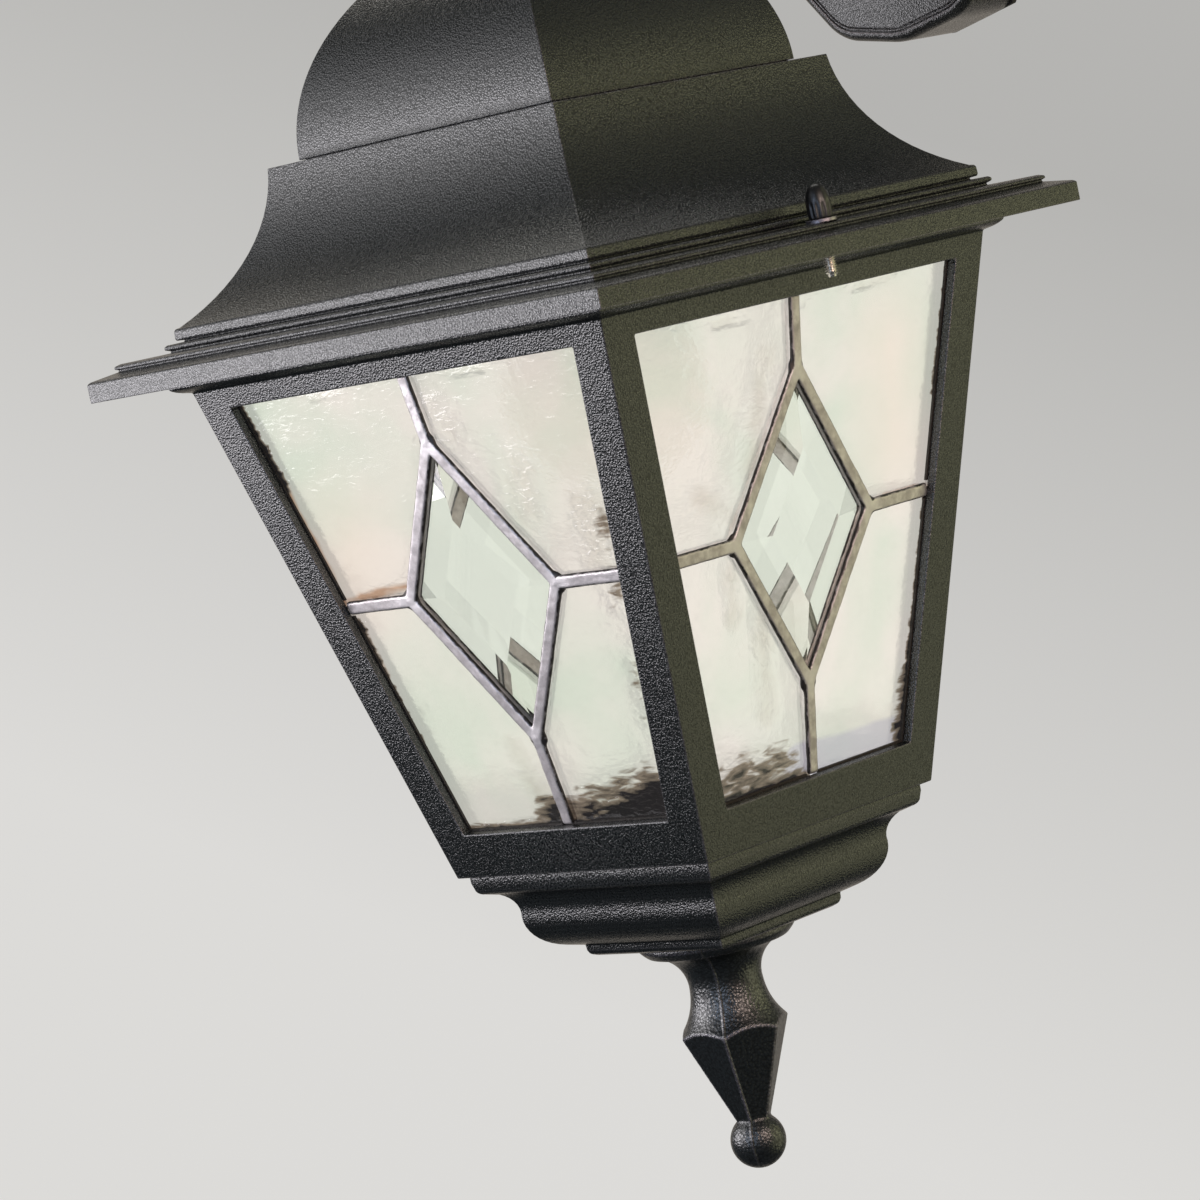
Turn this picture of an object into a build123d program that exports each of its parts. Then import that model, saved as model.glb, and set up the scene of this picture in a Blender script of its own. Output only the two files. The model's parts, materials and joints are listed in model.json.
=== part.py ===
from build123d import *
import math
import os

os.makedirs("parts", exist_ok=True)

# Square lantern hung from a swan-neck arm on a wall plate. Millimetres, +Z up.
# The origin is the centre of the wall face: the wall is the plane Y = 0 and the light stands out towards -Y.

# Driving dimensions
AXIS_Y = -205.0  # lantern axis in front of the wall
RIM_Z = -149.0  # lower edge of the rim below the plate's centre
REACH = 130.0  # more than any half-width of the lantern
FIT = 0.05  # radial clearance of screws in their holes
M4_RADIUS = 2.0
M4_HEAD_RADIUS = 3.8
M4_LOOSE_RADIUS = 2.2

# Heights from here to the finial are measured from the rim's lower edge, half-widths from the lantern axis.
RIM_HALF = 110.0
RIM_EDGE = 5.2
RIM_FLAT = 10.1
BAND_TOP = 17.35
LEDGE_HALF = 61.9
LEDGE_TOP = 59.5
CAST_WALL = 3.0
SEAT = 7.1  # underside of the rim's flat, where the cage seals
LEDGE_HOLE_HALF = 36.0

DOME_FOOT_HALF = 54.8
DOME_FOOT = 60.6
DOME_RADIUS = 60.6
DOME_CENTRE_H = -5.8
DOME_CENTRE_Z = 60.0
DOME_CROWN = 115.0
DOME_CROWN_UNDER = 111.0
PILLAR_AT = 46.5
PILLAR_TOP = 74.0
PILLAR_RADIUS = 4.5
ROOF_SCREW_LENGTH = 12.0

COLLAR_TOP = 128.0
TUBE_RADIUS = 5.0
TUBE_BORE = 3.7
TUBE_TOP = 142.0
TUBE_FOOT = 64.0

CAGE_TOP_HALF = 88.0
CAGE_TOP = -3.1
CAGE_FOOT_HALF = 53.3
CAGE_FOOT = -167.4
CAGE_WALL = 3.2
FLANGE_HALF = 93.0
FLANGE_TOP = 5.6
FLOOR_TOP = -163.4
EAR_REACH = 102.5
EAR_HALF_WIDTH = 7.0
EAR_LOW = 1.0
EAR_HIGH = 5.0
TAPER = math.atan((CAGE_TOP_HALF - CAGE_FOOT_HALF) / (CAGE_TOP - CAGE_FOOT))

# Lengths down the slope of a cage side, from its top edge
STILE = 12.8
OPENING_TOP = 6.8
OPENING_FOOT = 153.4
PANEL_LAP = 4.0
PANEL_FOOT_LAP = 9.4
DIAMOND_TOP = 28.6
DIAMOND_FOOT = 124.6
DIAMOND_MID = (DIAMOND_TOP + DIAMOND_FOOT) / 2
DIAMOND_HALF = 31.2

# Depths into a cage side from its outer face
GLASS_OUT = 4.0
GLASS_IN = 7.0
LEAF_WIDTH = 5.4
LEAF_OUT = 1.5
LEAF_IN = 1.1
HEART = 1.2
EDGE_LEAF = 0.8
EDGE_LEAF_WIDTH = 3.0
EDGE_HEART = 0.8
BEVEL_EDGE = LEAF_WIDTH / 2 + FIT
BEVEL_WIDTH = 10.5
BEVEL_RISE = 2.0
PUTTY_SHOWS = 0.5
RIB_DEPTH = 8.2
RIB_BACK = 10.2
POST_DEPTH = 5.8
POST_WIDTH = 5.4

PAN_FOOT = -199.7
FLANGE_RADIUS = 25.0
FLANGE_FOOT = -202.4
FINIAL_FOOT = -276.1
BALL_RADIUS = 8.15
WAIST_RADIUS = 11.7
HEX_WIDE = 17.7
HEX_WIDE_Z = -231.0
HEX_START_Z = -222.0
HEX_NARROW = 5.8
HEX_NARROW_Z = -260.0
STUD_RADIUS = 3.0
STUD_TOP = -154.0
STUD_GRIP = 14.0
STUD_WASHER = 1.6
STUD_NUT = 5.0

THUMB_X = 99.5
THUMB_RIB_COUNT = 16
THUMB_CAP_HEIGHT = 1.6
THUMB_HEAD_BORE = 5.0
THUMB_HEAD_RADIUS = 3.6
THUMB_HEAD_FOOT = 11.1
THUMB_HEAD_TOP = 19.0
THREAD_RADIUS = 1.95
THREAD_END = -6.1

LAMP_TIP = 47.0
GLOBE_RADIUS = 30.0
GLOBE_CENTRE = -28.0
GLOBE_CUT = -10.0
GLOBE_WALL = 1.2
CAP_RADIUS = 13.2
CAP_FOOT = 20.0
HOLDER_RADIUS = 20.5
HOLDER_FOOT = 20.0
HOLDER_TOP = 72.0
HOLDER_SEAM = 50.0
HOLDER_BORE = 14.8
HOLDER_END_WALL = 2.4
RING_TOP = 40.0
RING_FOOT = 29.6

# The wall plate, measured from its own centre
PLATE_HALF_HEIGHT = 88.0
PLATE_HALF_WIDTH = 52.0
PLATE_DEPTH = 28.3
PLATE_RIDGE = 2.5
PLATE_POINT_HALF = 27.5
PLATE_POINT_RISE = 5.3
PLATE_SHOULDER = 52.0
PLATE_BORDER = 4.6
GASKET = 2.0
STRAP_HALF_HEIGHT = 74.0
STRAP_WIDTH = 30.0
STRAP_THICK = 2.0
STUD_SPACING = 124.0
SLOT_SPACING = 80.0
SLOT_LENGTH = 12.0
SLOT_WIDTH = 5.0
CABLE_HOLE_RADIUS = 9.0
CABLE_BORE_RADIUS = 4.5
GROMMET_LIP = 1.6
EARTH_AT = (8.0, -20.0)
BLOCK_LOW = 15.0
BLOCK_HEIGHT = 19.0
BLOCK_MID = BLOCK_LOW + BLOCK_HEIGHT / 2
BLOCK_DEPTH = 14.0
BLOCK_SCREW_SPACING = 10.0
WAY = 9.0
WAY_DEPTH = STRAP_THICK + 6.0

# The arm's centre line, height from the plate's centre and distance from the lantern axis
ARM_ACROSS = 20.0
ARM_BORE = TUBE_RADIUS + FIT
ARM_CREST = 74.0
ARM_RISE_FROM = 124.0
ARM_RISE_TO = 64.0
ARM_BEND = 38.0
ARM_FLANGE_ACROSS = 46.0
ARM_FLANGE_THICK = 7.0
ARM_SCREW_SPACING = 30.0
LEAD_RADIUS = 2.5
CORE_RADIUS = 0.8
CORE_SPACING = 1.65

FRONT = Plane(origin=(0, AXIS_Y, RIM_Z), x_dir=(1, 0, 0), z_dir=(0, -1, 0))
SIDE = Plane(origin=(0, AXIS_Y, RIM_Z), x_dir=(0, 1, 0), z_dir=(1, 0, 0))
SIDES = {"front": 0, "right": 90, "back": 180, "left": 270}


def level(height):
    """Horizontal plane on the lantern axis, at a height above the rim's lower edge."""
    return Plane(origin=(0, AXIS_Y, RIM_Z + height), x_dir=(1, 0, 0), z_dir=(0, 0, 1))


def save(builder, name):
    """Labels a finished piece and writes it under its own name."""
    builder.part.label = name
    export_step(builder.part, f"parts/{name}.step")


def square_plan(draw_half):
    """Solid of square plan about the lantern axis, from half its outline."""
    with BuildPart() as body:
        for plane, mode in ((FRONT, Mode.ADD), (SIDE, Mode.INTERSECT)):
            with BuildSketch(plane):
                with BuildLine():
                    draw_half()
                make_face()
                mirror(about=Plane.YZ)
            extrude(amount=REACH, both=True, mode=mode)
    return body.part


def turned(draw_half):
    """Solid of round plan about the lantern axis, from half its outline."""
    with BuildPart() as body:
        with BuildSketch(FRONT):
            with BuildLine():
                draw_half()
            make_face()
        revolve(axis=Axis(origin=(0, AXIS_Y, RIM_Z), direction=(0, 0, 1)))
    return body.part


# Roof skirt: concave cast skirt, its flat ledge above and the stepped rim below
def skirt_outline():
    Polyline((0, LEDGE_TOP), (LEDGE_HALF, LEDGE_TOP))
    ThreePointArc((LEDGE_HALF, LEDGE_TOP), (69.5, 35.8), (87.7, BAND_TOP))
    Polyline(
        (87.7, BAND_TOP),
        (88.8, 13.8),
        (91.8, 12.2),
        (92.4, RIM_FLAT),
        (102.3, RIM_FLAT),
        (104.1, 8.7),
        (105.2, 7.2),
        (109.2, 5.9),
        (RIM_HALF, RIM_EDGE),
        (RIM_HALF, 0),
        (0, 0),
        (0, LEDGE_TOP),
    )


def skirt_hollow():
    under_ledge = LEDGE_TOP - CAST_WALL
    Polyline((0, under_ledge), (58.8, under_ledge))
    ThreePointArc((58.8, under_ledge), (66.7, 34.0), (84.6, 14.9))
    Polyline(
        (84.6, 14.9),
        (84.6, SEAT),
        (101.0, SEAT),
        (102.6, 5.6),
        (RIM_HALF - CAST_WALL, 2.6),
        (RIM_HALF - CAST_WALL, 0),
        (0, 0),
        (0, under_ledge),
    )


skirt_inside = square_plan(skirt_hollow)
with BuildPart() as roof_skirt:
    add(square_plan(skirt_outline))
    add(skirt_inside, mode=Mode.SUBTRACT)
    with BuildSketch(level(LEDGE_TOP)):
        Rectangle(2 * LEDGE_HOLE_HALF, 2 * LEDGE_HOLE_HALF)
    extrude(amount=-CAST_WALL, mode=Mode.SUBTRACT)
    with Locations(level(LEDGE_TOP)):
        with GridLocations(2 * PILLAR_AT, 2 * PILLAR_AT, 2, 2):
            Hole(M4_LOOSE_RADIUS, depth=CAST_WALL)
    with Locations(level(RIM_FLAT)):
        with GridLocations(2 * THUMB_X, 0, 2, 1):
            Hole(2.1, depth=RIM_FLAT)
save(roof_skirt, "roof_skirt")


# Roof dome: domed square casting on a recessed foot, with four screw pillars inside
def dome_arc(radius, foot, crown):
    """Arc of the dome's face between two heights, and its half-width at the crown."""
    def half(height):
        return DOME_CENTRE_H + math.sqrt(radius**2 - (height - DOME_CENTRE_Z) ** 2)

    middle = (foot + crown) / 2
    ThreePointArc((half(foot), foot), (half(middle), middle), (half(crown), crown))
    return half(foot), half(crown)


def dome_outline():
    foot_half, crown_half = dome_arc(DOME_RADIUS, DOME_FOOT, DOME_CROWN)
    Polyline(
        (foot_half, DOME_FOOT),
        (DOME_FOOT_HALF - 1.4, DOME_FOOT),
        (DOME_FOOT_HALF - 1.4, LEDGE_TOP),
        (0, LEDGE_TOP),
        (0, DOME_CROWN),
        (crown_half, DOME_CROWN),
    )


def dome_hollow():
    foot_half, crown_half = dome_arc(DOME_RADIUS - CAST_WALL, LEDGE_TOP, DOME_CROWN_UNDER)
    Polyline((foot_half, LEDGE_TOP), (0, LEDGE_TOP), (0, DOME_CROWN_UNDER), (crown_half, DOME_CROWN_UNDER))


with BuildPart() as roof_dome:
    add(square_plan(dome_outline))
    add(square_plan(dome_hollow), mode=Mode.SUBTRACT)
    with BuildSketch(level(LEDGE_TOP)):
        with GridLocations(2 * PILLAR_AT, 2 * PILLAR_AT, 2, 2):
            Circle(PILLAR_RADIUS)
    extrude(amount=PILLAR_TOP - LEDGE_TOP)
    with BuildSketch(level(LEDGE_TOP)):
        with GridLocations(2 * PILLAR_AT, 2 * PILLAR_AT, 2, 2):
            Circle(M4_RADIUS + FIT)
    extrude(amount=ROOF_SCREW_LENGTH, mode=Mode.SUBTRACT)
    with Locations(level(DOME_CROWN)):
        Hole(TUBE_RADIUS + FIT, depth=DOME_CROWN - DOME_CROWN_UNDER)
save(roof_dome, "roof_dome")

with BuildPart() as roof_screws:
    with BuildSketch(level(LEDGE_TOP - CAST_WALL)):
        with GridLocations(2 * PILLAR_AT, 2 * PILLAR_AT, 2, 2):
            Circle(M4_HEAD_RADIUS)
    extrude(amount=-2.6)
    with BuildSketch(level(LEDGE_TOP - CAST_WALL)):
        with GridLocations(2 * PILLAR_AT, 2 * PILLAR_AT, 2, 2):
            Circle(M4_RADIUS)
    extrude(amount=ROOF_SCREW_LENGTH)
save(roof_screws, "roof_screws")


# Collar turned between the roof's crown and the arm's end
def collar_outline():
    Polyline((0, DOME_CROWN), (19.0, DOME_CROWN), (19.0, DOME_CROWN + 3.0), (17.6, DOME_CROWN + 3.6))
    ThreePointArc((17.6, DOME_CROWN + 3.6), (14.6, DOME_CROWN + 6.6), (13.4, COLLAR_TOP - 2.4))
    Polyline((13.4, COLLAR_TOP - 2.4), (14.2, COLLAR_TOP - 2.0), (14.2, COLLAR_TOP), (0, COLLAR_TOP))
    Line((0, COLLAR_TOP), (0, DOME_CROWN))


with BuildPart() as roof_collar:
    add(turned(collar_outline))
    with Locations(level(COLLAR_TOP)):
        Hole(TUBE_RADIUS + FIT, depth=COLLAR_TOP - DOME_CROWN)
save(roof_collar, "roof_collar")

with BuildPart() as threaded_tube:
    with BuildSketch(level(TUBE_FOOT)):
        Circle(TUBE_RADIUS)
        Circle(TUBE_BORE, mode=Mode.SUBTRACT)
    extrude(amount=TUBE_TOP - TUBE_FOOT)
save(threaded_tube, "threaded_tube")

with BuildPart() as tube_washer:
    with BuildSketch(level(DOME_CROWN_UNDER)):
        Circle(10.0)
        Circle(TUBE_RADIUS + FIT, mode=Mode.SUBTRACT)
    extrude(amount=-1.2)
save(tube_washer, "tube_washer")

with BuildPart() as tube_locknut:
    with BuildSketch(level(DOME_CROWN_UNDER - 1.2)):
        RegularPolygon(8.0, 6)
        Circle(TUBE_RADIUS + FIT, mode=Mode.SUBTRACT)
    extrude(amount=-4.0)
save(tube_locknut, "tube_locknut")

# Swan-neck arm: an eight-sided bar with a bore, a flange at the wall plate and the collar at its end
arm_face = -(GASKET + PLATE_DEPTH)
arm_points = [
    (0, arm_face, 0),
    (0, AXIS_Y + ARM_RISE_FROM, 0),
    (0, AXIS_Y + ARM_RISE_TO, ARM_CREST),
    (0, AXIS_Y, ARM_CREST),
    (0, AXIS_Y, RIM_Z + COLLAR_TOP),
]
ARM_SECTION = Plane(origin=arm_points[0], x_dir=(1, 0, 0), z_dir=(0, -1, 0))
with BuildPart() as arm:
    with BuildLine() as arm_line:
        FilletPolyline(*arm_points, radius=ARM_BEND)
    with BuildSketch(ARM_SECTION):
        RegularPolygon(ARM_ACROSS / 2, 8, major_radius=False, rotation=22.5)
    sweep(path=arm_line.wires()[0])
    with BuildSketch(ARM_SECTION):
        RegularPolygon(ARM_FLANGE_ACROSS / 2, 8, major_radius=False, rotation=22.5)
    extrude(amount=ARM_FLANGE_THICK)
    chamfer(arm.faces().filter_by(Axis.Y).sort_by(Axis.Y)[0].outer_wire().edges(), 2.0)
    with BuildSketch(ARM_SECTION):
        Circle(ARM_BORE)
    sweep(path=arm_line.wires()[0], mode=Mode.SUBTRACT)
    with Locations(ARM_SECTION):
        with GridLocations(ARM_SCREW_SPACING, 0, 2, 1):
            Hole(M4_RADIUS + FIT, depth=5.5)
save(arm, "arm")

lead_start = (0, -(GASKET + PLATE_DEPTH - 10.0), 0)
with BuildPart() as supply_lead:
    with BuildLine() as lead_line:
        FilletPolyline(lead_start, *arm_points[1:-1], (0, AXIS_Y, RIM_Z + TUBE_FOOT - 3.0), radius=ARM_BEND)
    with BuildSketch(Plane(origin=lead_start, x_dir=(1, 0, 0), z_dir=(0, -1, 0))):
        Circle(LEAD_RADIUS)
    sweep(path=lead_line.wires()[0])
save(supply_lead, "supply_lead")


# Wall plate: hollow casting with pointed ends, a faint ridge and a raised panel inside its rounded border
def facing(depth):
    """Upright plane at a distance from the wall, seen from in front."""
    return Plane(origin=(0, -depth, 0), x_dir=(1, 0, 0), z_dir=(0, -1, 0))


def plate_outline(inset=0.0):
    """The plate's outline, drawn in by an even inset."""
    with BuildSketch() as outline:
        with BuildLine():
            Polyline(
                (0, PLATE_HALF_HEIGHT),
                (PLATE_POINT_HALF, PLATE_HALF_HEIGHT - PLATE_POINT_RISE),
                (PLATE_HALF_WIDTH, PLATE_SHOULDER),
                (PLATE_HALF_WIDTH, -PLATE_SHOULDER),
                (PLATE_POINT_HALF, PLATE_POINT_RISE - PLATE_HALF_HEIGHT),
                (0, -PLATE_HALF_HEIGHT),
            )
            mirror(about=Plane.YZ)
        make_face()
        if inset:
            offset(amount=-inset, kind=Kind.INTERSECTION, mode=Mode.REPLACE)
    return outline.sketch


plate_ridge = GASKET + PLATE_DEPTH
plate_edge = plate_ridge - PLATE_RIDGE
with BuildPart() as wall_plate:
    with BuildSketch(facing(GASKET)):
        add(plate_outline())
    extrude(amount=PLATE_DEPTH - PLATE_RIDGE - 0.9)
    fillet(wall_plate.faces().sort_by(Axis.Y)[0].edges(), PLATE_BORDER - 0.6)
    with BuildSketch(facing(plate_edge - 3.0)):
        add(plate_outline(PLATE_BORDER))
    extrude(amount=PLATE_RIDGE + 3.0)
    with BuildSketch(Plane.XY.offset(-PLATE_HALF_HEIGHT)):
        for side in (1, -1):
            with BuildLine():
                Polyline(
                    (0, -plate_ridge),
                    (side * PLATE_HALF_WIDTH, -plate_edge),
                    (side * PLATE_HALF_WIDTH, -plate_ridge - 1.0),
                    (0, -plate_ridge - 1.0),
                    close=True,
                )
            make_face()
    extrude(amount=2 * PLATE_HALF_HEIGHT, mode=Mode.SUBTRACT)
    with BuildSketch(facing(plate_edge - 2.0)):
        RegularPolygon(ARM_FLANGE_ACROSS / 2 + 2.0, 8, major_radius=False, rotation=22.5)
        with GridLocations(0, STUD_SPACING, 1, 2):
            Circle(6.5)
    extrude(amount=PLATE_RIDGE + 2.0)
    with BuildSketch(facing(GASKET)):
        add(plate_outline(CAST_WALL))
    extrude(amount=PLATE_DEPTH - PLATE_RIDGE - CAST_WALL, mode=Mode.SUBTRACT)
    with BuildSketch(facing(GASKET)):
        with GridLocations(0, STUD_SPACING, 1, 2):
            Circle(M4_LOOSE_RADIUS)
        with GridLocations(ARM_SCREW_SPACING, 0, 2, 1):
            Circle(M4_LOOSE_RADIUS)
        Circle(6.0)
    extrude(amount=PLATE_DEPTH, mode=Mode.SUBTRACT)
save(wall_plate, "wall_plate")

with BuildPart() as wall_gasket:
    with BuildSketch(facing(0)):
        add(plate_outline(0.4))
        add(plate_outline(6.0), mode=Mode.SUBTRACT)
    extrude(amount=GASKET)
save(wall_gasket, "wall_gasket")

with BuildPart() as mounting_strap:
    with BuildSketch(facing(0)):
        RectangleRounded(STRAP_WIDTH, 2 * STRAP_HALF_HEIGHT, 4.0)
        with GridLocations(0, SLOT_SPACING, 1, 2):
            SlotOverall(SLOT_LENGTH, SLOT_WIDTH, rotation=90, mode=Mode.SUBTRACT)
        with GridLocations(0, STUD_SPACING, 1, 2):
            Circle(M4_RADIUS + FIT, mode=Mode.SUBTRACT)
        Circle(CABLE_HOLE_RADIUS, mode=Mode.SUBTRACT)
        with Locations(EARTH_AT):
            Circle(M4_RADIUS + FIT, mode=Mode.SUBTRACT)
    extrude(amount=STRAP_THICK)
save(mounting_strap, "mounting_strap")

with BuildPart() as strap_studs:
    with BuildSketch(facing(0)):
        with GridLocations(0, STUD_SPACING, 1, 2):
            Circle(M4_RADIUS)
    extrude(amount=plate_ridge + 6.0)
save(strap_studs, "strap_studs")

with BuildPart() as cap_nut_washers:
    with BuildSketch(facing(plate_ridge)):
        with GridLocations(0, STUD_SPACING, 1, 2):
            Circle(4.5)
            Circle(M4_RADIUS + FIT, mode=Mode.SUBTRACT)
    extrude(amount=1.0)
save(cap_nut_washers, "cap_nut_washers")

with BuildPart() as cap_nuts:
    with BuildSketch(facing(plate_ridge + 1.0)):
        with GridLocations(0, STUD_SPACING, 1, 2):
            RegularPolygon(3.5, 6, major_radius=False)
    extrude(amount=3.6)
    with Locations(facing(plate_ridge + 4.6)):
        with GridLocations(0, STUD_SPACING, 1, 2):
            Sphere(3.3)
    with BuildSketch(facing(plate_ridge)):
        with GridLocations(0, STUD_SPACING, 1, 2):
            Circle(M4_RADIUS + FIT)
    extrude(amount=6.1, mode=Mode.SUBTRACT)
save(cap_nuts, "cap_nuts")

with BuildPart() as cable_grommet:
    with BuildSketch(facing(0)):
        Circle(CABLE_HOLE_RADIUS)
        Circle(CABLE_BORE_RADIUS, mode=Mode.SUBTRACT)
    extrude(amount=STRAP_THICK + GROMMET_LIP)
    with BuildSketch(facing(STRAP_THICK)):
        Circle(CABLE_HOLE_RADIUS + 1.8)
        Circle(CABLE_BORE_RADIUS, mode=Mode.SUBTRACT)
    extrude(amount=GROMMET_LIP)
save(cable_grommet, "cable_grommet")

# Terminal block on the strap: three ways, each with an upper and a lower clamping screw
with BuildPart() as terminal_block:
    with BuildSketch(facing(STRAP_THICK)):
        with Locations((0, BLOCK_MID)):
            with GridLocations(WAY, 0, 3, 1):
                Rectangle(WAY - 1.0, BLOCK_HEIGHT)
            Rectangle(2 * WAY, BLOCK_HEIGHT - 6.0)
    extrude(amount=BLOCK_DEPTH)
    with BuildSketch(Plane(origin=(0, -WAY_DEPTH, BLOCK_LOW), z_dir=(0, 0, 1))):
        with GridLocations(WAY, 0, 3, 1):
            Circle(1.6)
    extrude(amount=BLOCK_HEIGHT, mode=Mode.SUBTRACT)
    with BuildSketch(facing(STRAP_THICK + BLOCK_DEPTH)):
        with Locations((0, BLOCK_MID)):
            with GridLocations(WAY, BLOCK_SCREW_SPACING, 3, 2):
                Circle(1.9)
    extrude(amount=-5.0, mode=Mode.SUBTRACT)
save(terminal_block, "terminal_block")

with BuildPart() as terminal_screws:
    with BuildSketch(facing(STRAP_THICK + BLOCK_DEPTH - 2.0)):
        with Locations((0, BLOCK_MID)):
            with GridLocations(WAY, BLOCK_SCREW_SPACING, 3, 2):
                Circle(1.8)
                Rectangle(3.0, 0.7, mode=Mode.SUBTRACT)
    extrude(amount=-0.8)
    with BuildSketch(facing(STRAP_THICK + BLOCK_DEPTH - 2.8)):
        with Locations((0, BLOCK_MID)):
            with GridLocations(WAY, BLOCK_SCREW_SPACING, 3, 2):
                Circle(1.8)
    extrude(amount=-2.2)
save(terminal_screws, "terminal_screws")

with BuildPart() as earth_screw:
    with BuildSketch(facing(0)):
        with Locations(EARTH_AT):
            Circle(M4_RADIUS)
    extrude(amount=STRAP_THICK)
    with BuildSketch(facing(STRAP_THICK)):
        with Locations(EARTH_AT):
            Circle(4.2)
    extrude(amount=0.9)
    with BuildSketch(facing(STRAP_THICK + 0.9)):
        with Locations(EARTH_AT):
            Circle(3.4)
            Rectangle(4.6, 0.9, mode=Mode.SUBTRACT)
    extrude(amount=2.2)
save(earth_screw, "earth_screw")

with BuildPart() as arm_screws:
    with BuildSketch(facing(plate_edge - CAST_WALL)):
        with GridLocations(ARM_SCREW_SPACING, 0, 2, 1):
            Circle(M4_HEAD_RADIUS)
            RegularPolygon(2.0, 6, mode=Mode.SUBTRACT)
    extrude(amount=-3.0)
    with BuildSketch(facing(plate_edge - CAST_WALL - 1.0)):
        with GridLocations(ARM_SCREW_SPACING, 0, 2, 1):
            Circle(M4_RADIUS)
    extrude(amount=PLATE_RIDGE + CAST_WALL + 5.0)
save(arm_screws, "arm_screws")

# The lead's three cores fan out from the end of its sheath to the three ways of the block
for place, name in ((-1, "core_live"), (0, "core_earth"), (1, "core_neutral")):
    core_start = (place * CORE_SPACING, lead_start[1], 0)
    core_end = (place * WAY, -WAY_DEPTH, BLOCK_LOW + 1.0)
    with BuildPart() as core:
        with BuildLine() as core_line:
            FilletPolyline(
                core_start,
                (place * CORE_SPACING, -WAY_DEPTH - 5.5, 0),
                (place * WAY, -WAY_DEPTH, 7.0),
                core_end,
                radius=3.0,
            )
        with BuildSketch(Plane(origin=core_start, z_dir=core_line.wires()[0] % 0)):
            Circle(CORE_RADIUS)
        sweep(path=core_line.wires()[0])
    save(core, name)


# Lampholder hung on the tube, its mouth down
def holder_cap_outline():
    Polyline((TUBE_RADIUS + FIT, HOLDER_TOP), (11.0, HOLDER_TOP), (11.0, 66.0))
    ThreePointArc((11.0, 66.0), (17.6, 61.6), (HOLDER_RADIUS, 56.0))
    Polyline(
        (HOLDER_RADIUS, 56.0),
        (HOLDER_RADIUS, HOLDER_SEAM),
        (18.3, HOLDER_SEAM),
        (18.3, 55.0),
        (9.0, 61.5),
        (TUBE_RADIUS + FIT, 61.5),
        (TUBE_RADIUS + FIT, HOLDER_TOP),
    )


def holder_body_outline():
    Polyline(
        (0, HOLDER_SEAM),
        (HOLDER_RADIUS - 0.6, HOLDER_SEAM),
        (HOLDER_RADIUS - 0.6, 27.0),
        (HOLDER_RADIUS - 2.2, 25.0),
        (HOLDER_RADIUS - 2.2, HOLDER_FOOT),
        (HOLDER_BORE, HOLDER_FOOT),
        (HOLDER_BORE, HOLDER_SEAM - HOLDER_END_WALL),
        (0, HOLDER_SEAM - HOLDER_END_WALL),
        (0, HOLDER_SEAM),
    )


def holder_ring_outline():
    inner = HOLDER_RADIUS - 0.6 + FIT
    Polyline(
        (inner, RING_TOP),
        (22.0, RING_TOP),
        (22.0, RING_FOOT + 3.4),
        (25.5, RING_FOOT + 2.4),
        (25.5, RING_FOOT),
        (inner, RING_FOOT),
        (inner, RING_TOP),
    )


def holder_shell_outline():
    outer = HOLDER_BORE - FIT
    Polyline((outer, 45.0), (outer - 0.6, 45.0), (outer - 0.6, 22.0), (outer, 22.0), (outer, 45.0))


def holder_contact_outline():
    top = HOLDER_SEAM - HOLDER_END_WALL
    Polyline((0, top), (4.0, top), (3.2, LAMP_TIP), (0, LAMP_TIP), (0, top))


for draw, name in (
    (holder_cap_outline, "lampholder_cap"),
    (holder_body_outline, "lampholder_body"),
    (holder_ring_outline, "lampholder_ring"),
    (holder_shell_outline, "holder_shell"),
    (holder_contact_outline, "holder_contact"),
):
    with BuildPart() as holder_piece:
        add(turned(draw))
    save(holder_piece, name)

# Lamp: screw cap, plastic base, opal globe and the board inside it
globe_cut_radius = math.sqrt(GLOBE_RADIUS**2 - (GLOBE_CUT - GLOBE_CENTRE) ** 2)


def lamp_cap_outline():
    Polyline(
        (0, LAMP_TIP),
        (4.0, LAMP_TIP),
        (5.2, LAMP_TIP - 1.4),
        (10.5, LAMP_TIP - 3.6),
        (CAP_RADIUS, LAMP_TIP - 5.4),
        (CAP_RADIUS, CAP_FOOT),
        (0, CAP_FOOT),
        (0, LAMP_TIP),
    )


def lamp_base_outline():
    Polyline((0, CAP_FOOT), (CAP_RADIUS + 0.6, CAP_FOOT))
    ThreePointArc((CAP_RADIUS + 0.6, CAP_FOOT), (18.0, 4.0), (globe_cut_radius, GLOBE_CUT))
    Polyline((globe_cut_radius, GLOBE_CUT), (0, GLOBE_CUT), (0, CAP_FOOT))


def lamp_globe_outline():
    inner = GLOBE_RADIUS - GLOBE_WALL
    inner_cut = math.sqrt(inner**2 - (GLOBE_CUT - GLOBE_CENTRE) ** 2)
    globe_foot = GLOBE_CENTRE - GLOBE_RADIUS
    ThreePointArc((globe_cut_radius, GLOBE_CUT), (GLOBE_RADIUS, GLOBE_CENTRE), (0, globe_foot))
    Line((0, globe_foot), (0, GLOBE_CENTRE - inner))
    ThreePointArc((0, GLOBE_CENTRE - inner), (inner, GLOBE_CENTRE), (inner_cut, GLOBE_CUT))
    Line((inner_cut, GLOBE_CUT), (globe_cut_radius, GLOBE_CUT))


def lamp_board_outline():
    foot = GLOBE_CUT - 1.6
    Polyline((0, GLOBE_CUT), (20.0, GLOBE_CUT), (20.0, foot), (0, foot), (0, GLOBE_CUT))


for draw, name in (
    (lamp_cap_outline, "lamp_cap"),
    (lamp_base_outline, "lamp_base"),
    (lamp_globe_outline, "lamp_globe"),
    (lamp_board_outline, "lamp_board"),
):
    with BuildPart() as lamp_piece:
        add(turned(draw))
    save(lamp_piece, name)

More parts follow.
